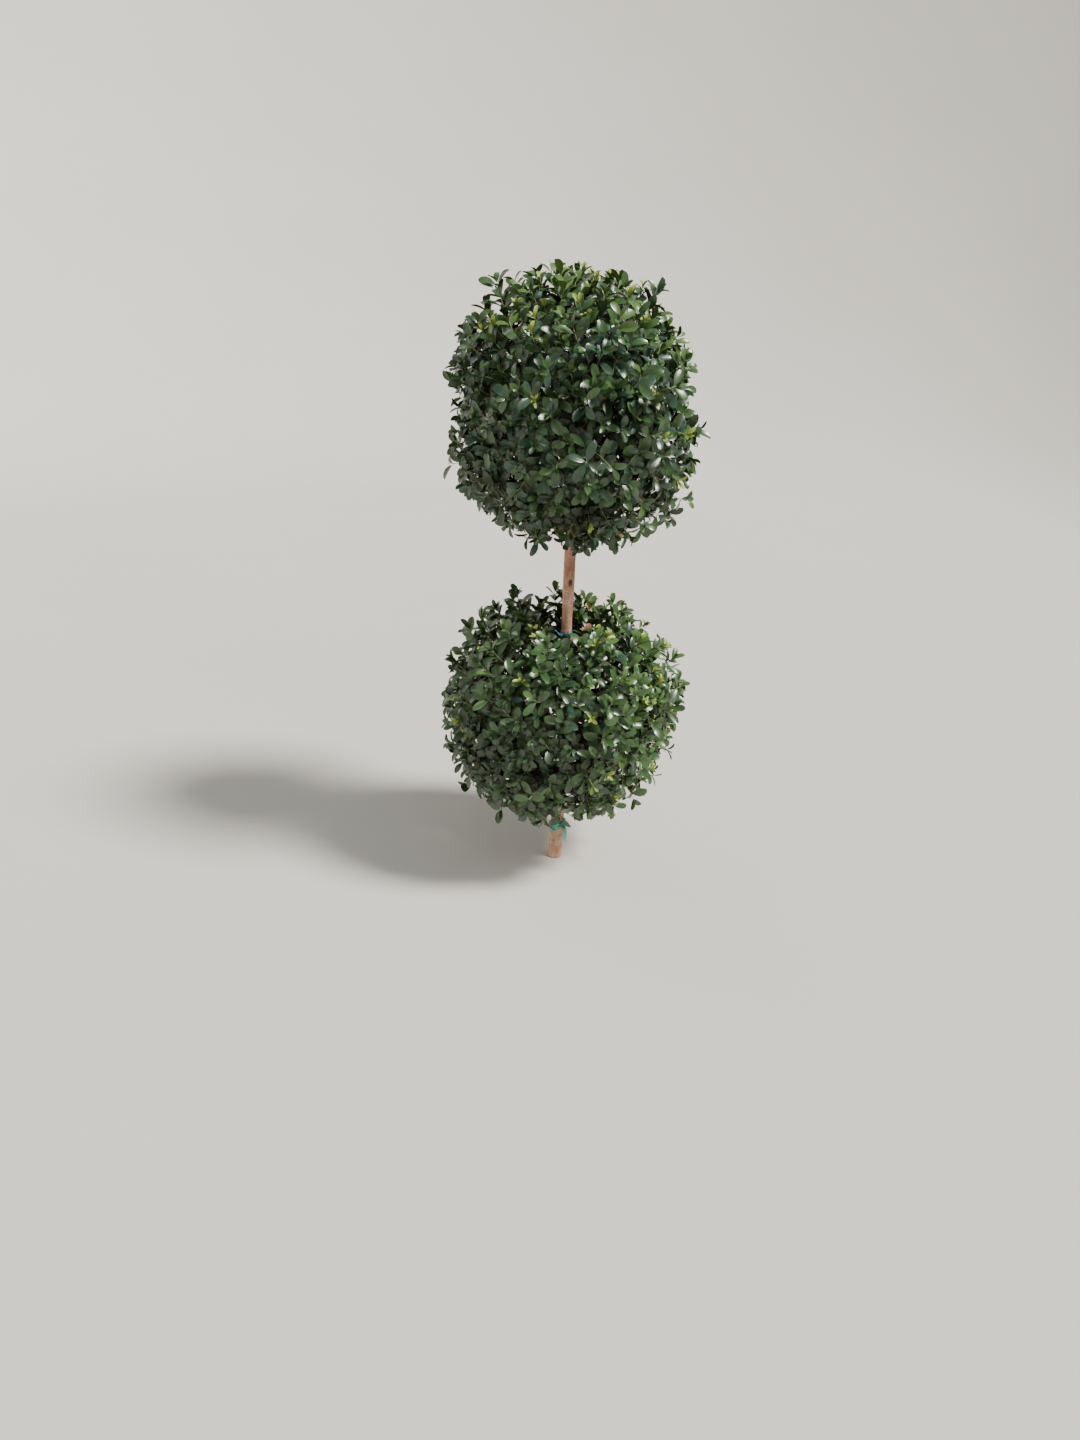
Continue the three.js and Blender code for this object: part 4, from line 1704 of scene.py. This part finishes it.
        fits = shown & (proud[:, None, None] | (np.linalg.norm(spoke, axis=-1) <= room))
        width = self.WIDTH_SPREAD * (self.draw(number, Purpose.LEAF_WIDTH) - 0.5)
        shape = length.shape
        leaves = Leaves(
            root=np.broadcast_to(node[:, :, None], (*shape, 3)), along=along, face=upward,
            length=length, share_wide=np.where(young, *self.WIDTH) + width,
            curl=self.CURL + self.CURL_SPREAD * self.draw(number, Purpose.LEAF_CURL),
            fold=(np.where(young, *self.FOLD)
                  + self.FOLD_SPREAD * self.draw(number, Purpose.LEAF_FOLD)),
            wave=self.WAVE * self.draw(number, Purpose.LEAF_WAVE),
            tint=self.tints(twigs, number, level, np.broadcast_to(young, shape)))
        flat = Leaves(*(getattr(leaves, name).reshape(-1, *getattr(leaves, name).shape[3:])
                        for name in Leaves.__dataclass_fields__))
        return flat.only(fits.ravel())

    def tints(self, twigs: Twigs, number: Array, level: Array, young: Array) -> Array:
        """Deals the tints out by spray and twig.

        The tone is a weighted sum of three draws, and rises towards the twigs' tips. It also rises
        towards the top and the +X side as painted light. Bands of the tone are the tints.

        Args:
            twigs: The twigs that the leaves are on.
            number: Each leaf's own number.
            level: Number of its pair, from the tip down.
            young: Whether it is young.

        Returns:
            The number of each leaf's tint.
        """
        deep, blue, mid, fresh, lime, yellow, dry = range(len(Tint))
        spray_share = self.draw(twigs.spray, Purpose.SPRAY_TONE)[:, None, None]
        twig_share = self.draw(twigs.number, Purpose.TWIG_TONE)[:, None, None]
        drawn = self.draw(number, Purpose.LEAF_TONE)
        right, height = (twigs.facing[:, axis][:, None, None] for axis in (0, 2))
        tufted = (twigs.habit == TUFTED_END)[:, None, None]
        fresher = tufted & (level <= self.YOUNG_PAIRS)
        age = np.where(fresher, self.TUFT_TONE, self.TIP_TONE * (level <= 1))
        age = age - self.AGE_TONE * level
        # Painted light: the tone, and so the tint, is lighter towards the top and the +X side.
        place = self.growth.painted_light_top * height + self.PAINTED_LIGHT_RIGHT * right
        tone = (self.SPRAY_TONE * spray_share + self.TWIG_TONE * twig_share
                + self.LEAF_TONE * drawn + age + place)
        blue_below = self.DEEP_BELOW + self.growth.blue_band
        tint = np.select([young, tone < self.DEEP_BELOW, tone < blue_below, tone < self.FRESH_FROM],
                         [lime, deep, blue, mid], fresh)
        turning = self.draw(number, Purpose.YELLOW_LEAF) < self.YELLOW_SHARE
        tint = np.where(~young & turning, yellow, tint)
        dead = self.draw(number, Purpose.DRY_LEAF) < self.DRY_SHARE
        tint = np.where(~young & dead, dry, tint)
        if self.growth.dry_place is not None:
            away = np.linalg.norm(twigs.stems.tip - np.array(self.growth.dry_place), axis=-1)
            nearest = away.min(initial=1.0)
            chosen = (away == nearest)[:, None, None] & (nearest < self.DRY_REACH)
            tint = np.where(chosen & (level < self.DRY_PAIRS), dry, tint)
        return tint

    def build(self) -> None:
        """Grows the ball and makes its pieces: boughs, twigs, green ends, and leaves by tint."""
        name = self.shape.node
        directions, past = self.spray_directions()
        boughs = self.main_boughs()
        limbs = self.limbs(boughs, directions)
        twigs = self.twigs(limbs, directions, past)
        bark = BOUGH_BARK.material(f"{name}_bough_bark")
        wood = boughs.surface(18, 12, lump=0.16).joined(limbs.surface(12, 8, lump=0.14))
        make_piece(f"{name}_boughs", wood, [bark], name)
        make_piece(f"{name}_twigs", twigs.stems.surface(5, 5, 0.0, 0.66),
                   [WOODY_TWIG.material(f"{name}_twig")], name)
        make_piece(f"{name}_green_twigs", twigs.stems.surface(4, 5, 0.64, 1.0),
                   [GREEN_TWIG.material(f"{name}_green_twig")], name)
        leaves = self.leaves(twigs)
        log.info("%s: %d twigs, %d leaves", name, len(twigs.number), len(leaves.length))
        for number, tint in enumerate(Tint):
            chosen = leaves.only(leaves.tint == number)
            if len(chosen.length):
                title = f"{name}_{tint.value}_leaves"
                sides = LEAF_FINISHES[tint].materials(title)
                make_piece(title, chosen.surface(), sides, name)


# The plant ties


@dataclass(frozen=True)
class Tail:
    """A tie's loose end: its width, and its curve out of the knot."""

    width: float
    out: float
    lift: float
    reach: float
    rise: float


@dataclass(frozen=True)
class PlantTie:
    """Soft plastic tape round the trunk: a pleated band, its knot and one loose end.

    Attributes:
        node: The solid's name.
        height: Height of the band's middle.
        band: Width of the tape round the trunk.
        tilt: How far the band rises at the knot and sinks opposite it.
        azimuth: Where the knot is, in degrees.
        knot: Half sizes of the knot: outward, round the trunk, and up.
        tail: The loose end.
        shown: Middle of the gap in the foliage in front of the tie, from the trunk's middle.
        parting: Radius of that gap.
        gap: How far the tape lies off the bark.
        thickness: Thickness of the tape's two layers.
    """

    node: str
    height: float
    band: float
    tilt: float
    azimuth: float
    knot: tuple[float, float, float]
    tail: Tail
    shown: tuple[float, float, float]
    parting: float
    gap: float = 0.0003
    thickness: float = 0.0009

    BAND_ANGLES, BAND_COLUMNS = 120, 14
    PINCH = 0.5  # how far the band narrows on both sides of the knot, in radians
    SPREAD_AT, SPREAD, SAG = 1.0, 0.52, 0.16  # where it spreads, how far round, and its sinking
    PLEATS, PLEAT_SLANT = 8.5, 1.7
    PLEAT_DEPTH, PLEAT_PINCHED, WRINKLE = 0.00028, 0.0006, 0.0006
    PUFF = 0.0007  # how far the outer layer stands off past the tape's thickness
    KNOT_ROWS, KNOT_COLUMNS, POLE = 22, 32, 0.12
    TAIL_ROWS, TAIL_COLUMNS = 40, 9
    ROOT_DEPTH = 0.0012  # how deep the loose end starts in the knot
    TWIST, CUP, RIPPLE, SLANT = 0.28, 0.0016, 0.0004, 0.002
    TAIL_HALF = 0.00035  # half the thickness of the loose end

    def axes(self) -> tuple[Array, Array]:
        """Gives the unit vectors outward through the knot and round the trunk there."""
        outward = toward(self.azimuth, 0)
        return outward, np.array([-outward[1], outward[0], 0.0])

    def start(self, trunk: Trunk) -> Array:
        """Gives the middle of the knot on the trunk."""
        height, angle = np.array(self.height + self.tilt), np.array(math.radians(self.azimuth))
        return trunk.skin(height, angle, self.gap + self.thickness)

    def band_surface(self, trunk: Trunk) -> Surface:
        """Wraps the band round the trunk.

        Its section is a thin closed strip. Towards the knot the strip narrows by a bell of the
        angle, and its pleats, a sine across the band, deepen by the same bell. Another bell
        spreads the strip and lowers it beside the knot.

        Args:
            trunk: The trunk that it goes round.

        Returns:
            Its surface.
        """
        angle = np.linspace(0, TURN, self.BAND_ANGLES, endpoint=False)[:, None]
        away = angle_from(self.azimuth, angle)
        near = np.exp(-((away / self.PINCH) ** 2))
        spread = np.exp(-(((away + self.SPREAD_AT) / self.SPREAD) ** 2))
        crosswise, outer = strip_section(self.BAND_COLUMNS)
        pleats = np.sin(crosswise * self.PLEATS + away * self.PLEAT_SLANT)
        pleats = pleats * (self.PLEAT_DEPTH + self.PLEAT_PINCHED * near)
        wrinkles = mottle(crosswise * 2.2 + 9, angle / TURN * 25, 4.4, 25) - 0.5
        pleats = pleats + self.WRINKLE * wrinkles
        middle = self.height + self.tilt * np.cos(away) - self.band * self.SAG * spread
        height = middle + crosswise * self.band / 2 * (0.68 + 0.32 * spread - 0.2 * near)
        thickness = (self.thickness + self.PUFF + pleats) * (1 - 0.5 * np.abs(crosswise) ** 6)
        angles = np.broadcast_to(angle, height.shape)
        points = trunk.skin(height, angles, self.gap + outer * thickness)
        # Painted light and shade: paler where the band spreads and on the pleats' crests, darker in
        # their troughs.
        relief = np.broadcast_to(0.34 + 0.3 * spread + pleats * 420, height.shape)
        faces = grid_faces(*height.shape, round_rows=True, round_columns=True)
        return Surface(points.reshape(-1, 3), [faces],
                       facts={"relief": relief.ravel()}).facing_out()

    def knot_surface(self, trunk: Trunk) -> Surface:
        """Makes the knot: an ovoid whose radius swells and pinches in three wound folds.

        Args:
            trunk: The trunk that it sits on.

        Returns:
            Its surface.
        """
        polar = np.linspace(self.POLE, math.pi - self.POLE, self.KNOT_ROWS)[:, None]
        turn = np.linspace(0, TURN, self.KNOT_COLUMNS, endpoint=False)[None, :]
        folds = 1 + 0.13 * np.sin(3 * turn + 2.6 * polar) + 0.07 * np.sin(5 * turn - 4 * polar)
        radius = folds * np.sin(polar) ** 0.8
        outward, crosswise = self.axes()
        out, wide, tall = self.knot
        spots = (np.cos(turn) * radius * out)[..., None] * outward
        spots = spots + (np.sin(turn) * radius * wide)[..., None] * crosswise
        spots = spots + np.broadcast_to(np.cos(polar) * tall, radius.shape)[..., None] * UP
        poles = np.array([UP * tall, -UP * tall])
        points = np.concatenate([spots.reshape(-1, 3), poles]) + self.start(trunk)
        faces = tube_faces(self.KNOT_ROWS, self.KNOT_COLUMNS)
        # Painted shade and light: the knot is darker where its folds pinch in and paler where they
        # swell.
        relief = np.append((folds * 1.6 - 1.35).ravel(), [0.2, 0.2])
        return Surface(points, faces, facts={"relief": relief}).facing_out()

    def tail_surface(self, trunk: Trunk) -> Surface:
        """Makes the loose end: a thin strip along a quadratic curve, cupped and cut aslant.

        Args:
            trunk: The trunk that the knot sits on.

        Returns:
            Its surface.
        """
        share = np.linspace(0, 1, self.TAIL_ROWS)[:, None]
        outward, crosswise = self.axes()
        start = self.start(trunk)
        root = start - outward * self.ROOT_DEPTH
        bend = start + outward * self.tail.out + UP * self.tail.lift
        end = start + outward * self.tail.reach + UP * self.tail.rise
        middle = (1 - share) ** 2 * root + 2 * share * (1 - share) * bend + share**2 * end
        heading = unit((1 - share) * (bend - root) + share * (end - bend))
        twist = self.TWIST * np.sin(share * 3.4)
        face = np.cross(np.broadcast_to(crosswise, heading.shape), heading)
        side = crosswise * np.cos(twist) + face * np.sin(twist)
        face = np.cross(side, heading)
        crosswise, outer = strip_section(self.TAIL_COLUMNS)
        narrowing = 0.66 + 0.34 * smooth(0.0, 0.3, share) - 0.7 * smooth(0.78, 1.0, share)
        half = self.tail.width / 2 * narrowing
        cup = self.CUP * crosswise**2 + self.RIPPLE * np.sin(share * 26 + crosswise * 3)
        lift = cup + (2 * outer - 1) * self.TAIL_HALF * (1 - crosswise**8)
        points = middle[:, None] + side[:, None] * (crosswise * half)[..., None]
        points = points + face[:, None] * lift[..., None]
        slant = (crosswise * self.SLANT * smooth(0.8, 1.0, share))[..., None]
        points = (points + heading[:, None] * slant).reshape(-1, 3)
        points = np.concatenate([points, [middle[0], middle[-1]]])
        # Painted light: the loose end is paler towards its tip and on its cupped edges.
        relief = np.append((0.4 + 0.4 * share + cup * 160).ravel(), [0.4, 0.8])
        faces = tube_faces(*cup.shape)
        return Surface(points, faces, facts={"relief": relief}).facing_out()

    def build(self, trunk: Trunk, finish: TapeFinish) -> None:
        """Makes the tie's three pieces on the trunk.

        Args:
            trunk: The trunk.
            finish: The tape's finish.
        """
        material = finish.material(f"{self.node}_tape")
        parts = {"band": self.band_surface(trunk), "knot": self.knot_surface(trunk),
                 "tail": self.tail_surface(trunk)}
        for part, surface in parts.items():
            make_piece(f"{self.node}_{part}", surface, [material], self.node)


LOWER_TIE = PlantTie(
    node="tie_lower", height=0.071, band=0.020, tilt=0.005, azimuth=-52,
    knot=(0.0055, 0.0048, 0.0072),
    tail=Tail(width=0.012, out=0.018, lift=0.005, reach=0.011, rise=-0.036),
    shown=(0.003, 0.0, 0.010), parting=0.0155)
UPPER_TIE = PlantTie(
    node="tie_upper", height=0.474, band=0.014, tilt=-0.002, azimuth=215,
    knot=(0.0045, 0.0038, 0.005),
    tail=Tail(width=0.009, out=0.008, lift=0.007, reach=0.015, rise=0.014),
    shown=(-0.003, 0.0, 0.003), parting=0.008)
# Both ties are the same teal tape; the upper tie's colours are darker, as painted shade.
LOWER_TAPE = TapeFinish("06514f", "4fbb9b")
UPPER_TAPE_SHADED = TapeFinish("093a44", "1b6a74")


# Floor, light and camera


@dataclass(frozen=True)
class Sun:
    """A broad far light.

    Attributes:
        name: Its name.
        come_from: The direction that it shines from.
        strength: Its strength.
        softness: How wide it looks, in degrees.
        colour: Its colour.
    """

    name: str
    come_from: tuple[float, float, float]
    strength: float
    softness: float
    colour: tuple[float, float, float]

    def build(self) -> None:
        """Adds the light, turned so that it shines from its direction."""
        light = bpy.data.lights.new(self.name, "SUN")
        light.energy = self.strength
        light.angle = math.radians(self.softness)
        light.color = self.colour
        back = unit(np.array(self.come_from))
        side = across(back)
        place_object(self.name, light).matrix_world = axes_matrix(side, np.cross(back, side), back)


@dataclass(frozen=True)
class Studio:
    """A plain pale floor, soft light, and the camera where the photographer stood.

    Attributes:
        eye: Where the camera is.
        pitch: How far it looks down, in degrees.
        roll: How far it is rolled, in degrees.
        focal: Focal length as a share of the picture's long side.
        sensor: Width of the sensor along that side, in millimetres.
        floor_radius: Radius of the flat middle of the floor.
        rim_radius: Radius that its smooth rise ends at.
        rim_height: Height of its rim, above the top of the picture.
    """

    eye: tuple[float, float, float] = (-0.0344, -1.928, 1.10)
    pitch: float = 22.6
    roll: float = 1.2
    focal: float = 1075 / 1440
    sensor: float = 36.0
    floor_radius: float = 4.0
    rim_radius: float = 9.0
    rim_height: float = 6.4

    FLOOR_SIDES, FLOOR_STEPS = 96, 24
    FLOOR_DARK, FLOOR_LIGHT = "bbb8b1", "c1beb8"
    SKY, SKY_STRENGTH = (0.92, 0.97, 1.0, 1.0), 0.36
    SUNS = (Sun("key_light", (1.1, -0.38, 1.35), 7.6, 14, (1.0, 0.97, 0.92)),
            Sun("fill_light", (0.35, -1.0, 0.85), 0.6, 50, (0.94, 0.98, 1.0)),
            Sun("rim_light", (-0.7, 0.9, 0.9), 0.6, 40, (0.95, 0.98, 1.0)))

    def camera(self) -> None:
        """Sets the camera up from its eye, pitch and roll."""
        pitch, roll = math.radians(self.pitch), math.radians(self.roll)
        level_up = np.array([0, math.sin(pitch), math.cos(pitch)])
        level_right = np.array([1.0, 0, 0])
        back = -np.array([0, math.cos(pitch), -math.sin(pitch)])
        right = math.cos(roll) * level_right + math.sin(roll) * level_up
        up = -math.sin(roll) * level_right + math.cos(roll) * level_up
        lens = bpy.data.cameras.new("camera")
        lens.sensor_width = self.sensor
        lens.lens = self.focal * self.sensor
        camera = place_object("camera", lens)
        camera.matrix_world = Matrix.Translation(self.eye) @ axes_matrix(right, up, back)
        bpy.context.scene.camera = camera

    def floor(self) -> None:
        """Lays the round floor at ground level, whose edge rises smoothly as in a photo studio.

        Beyond the flat middle the height climbs with the square of the distance.
        """
        rising = np.linspace(self.floor_radius, self.rim_radius, self.FLOOR_STEPS)
        outward = np.concatenate([[1.0], rising])[:, None]
        share = (outward - self.floor_radius) / (self.rim_radius - self.floor_radius)
        angle = np.linspace(0, TURN, self.FLOOR_SIDES, endpoint=False)[None, :]
        height = self.rim_height * np.clip(share, 0, 1) ** 2 + 0 * angle
        rings = np.stack([outward * np.cos(angle), outward * np.sin(angle), height], -1)
        points = np.concatenate([rings.reshape(-1, 3), np.zeros((1, 3))])
        faces = grid_faces(*height.shape, round_columns=True)[:, ::-1]
        middle = fan_faces(np.arange(self.FLOOR_SIDES), len(points) - 1, False)
        mesh = bpy.data.meshes.new("floor")
        mesh.from_pydata(points.tolist(), [], faces.tolist() + middle.tolist())
        mesh.shade_smooth()
        nodes = Nodes("floor")
        clouds = nodes.noise(nodes.spot(), 1.2, 2)
        colour = nodes.mix(clouds, paint(self.FLOOR_DARK), paint(self.FLOOR_LIGHT))
        nodes.set(Base_Color=colour, Roughness=0.9, Specular_IOR_Level=0.1)
        mesh.materials.append(nodes.material)
        floor = place_object("floor", mesh)

    def sky(self) -> None:
        """Fills the surroundings with even pale light."""
        world = bpy.data.worlds.new("sky")
        world.use_nodes = True
        background = next(node for node in world.node_tree.nodes if node.type == "BACKGROUND")
        background.inputs["Color"].default_value = self.SKY
        background.inputs["Strength"].default_value = self.SKY_STRENGTH
        bpy.context.scene.world = world

    def build(self) -> None:
        """Makes the floor, the lights and the camera."""
        self.floor()
        self.sky()
        for sun in self.SUNS:
            sun.build()
        self.camera()


def main() -> None:
    """Builds the trunk, the ties, the two balls and the studio."""
    logging.basicConfig(level=logging.INFO, format="%(message)s")
    trunk = Trunk()
    trunk.build()
    LOWER_TIE.build(trunk, LOWER_TAPE)
    UPPER_TIE.build(trunk, UPPER_TAPE_SHADED)
    ties = (LOWER_TIE, UPPER_TIE)
    Canopy(LOWER_GROWTH, trunk, ties).build()
    Canopy(UPPER_GROWTH, trunk, ties).build()
    Studio().build()


if __name__ == "__main__":
    main()
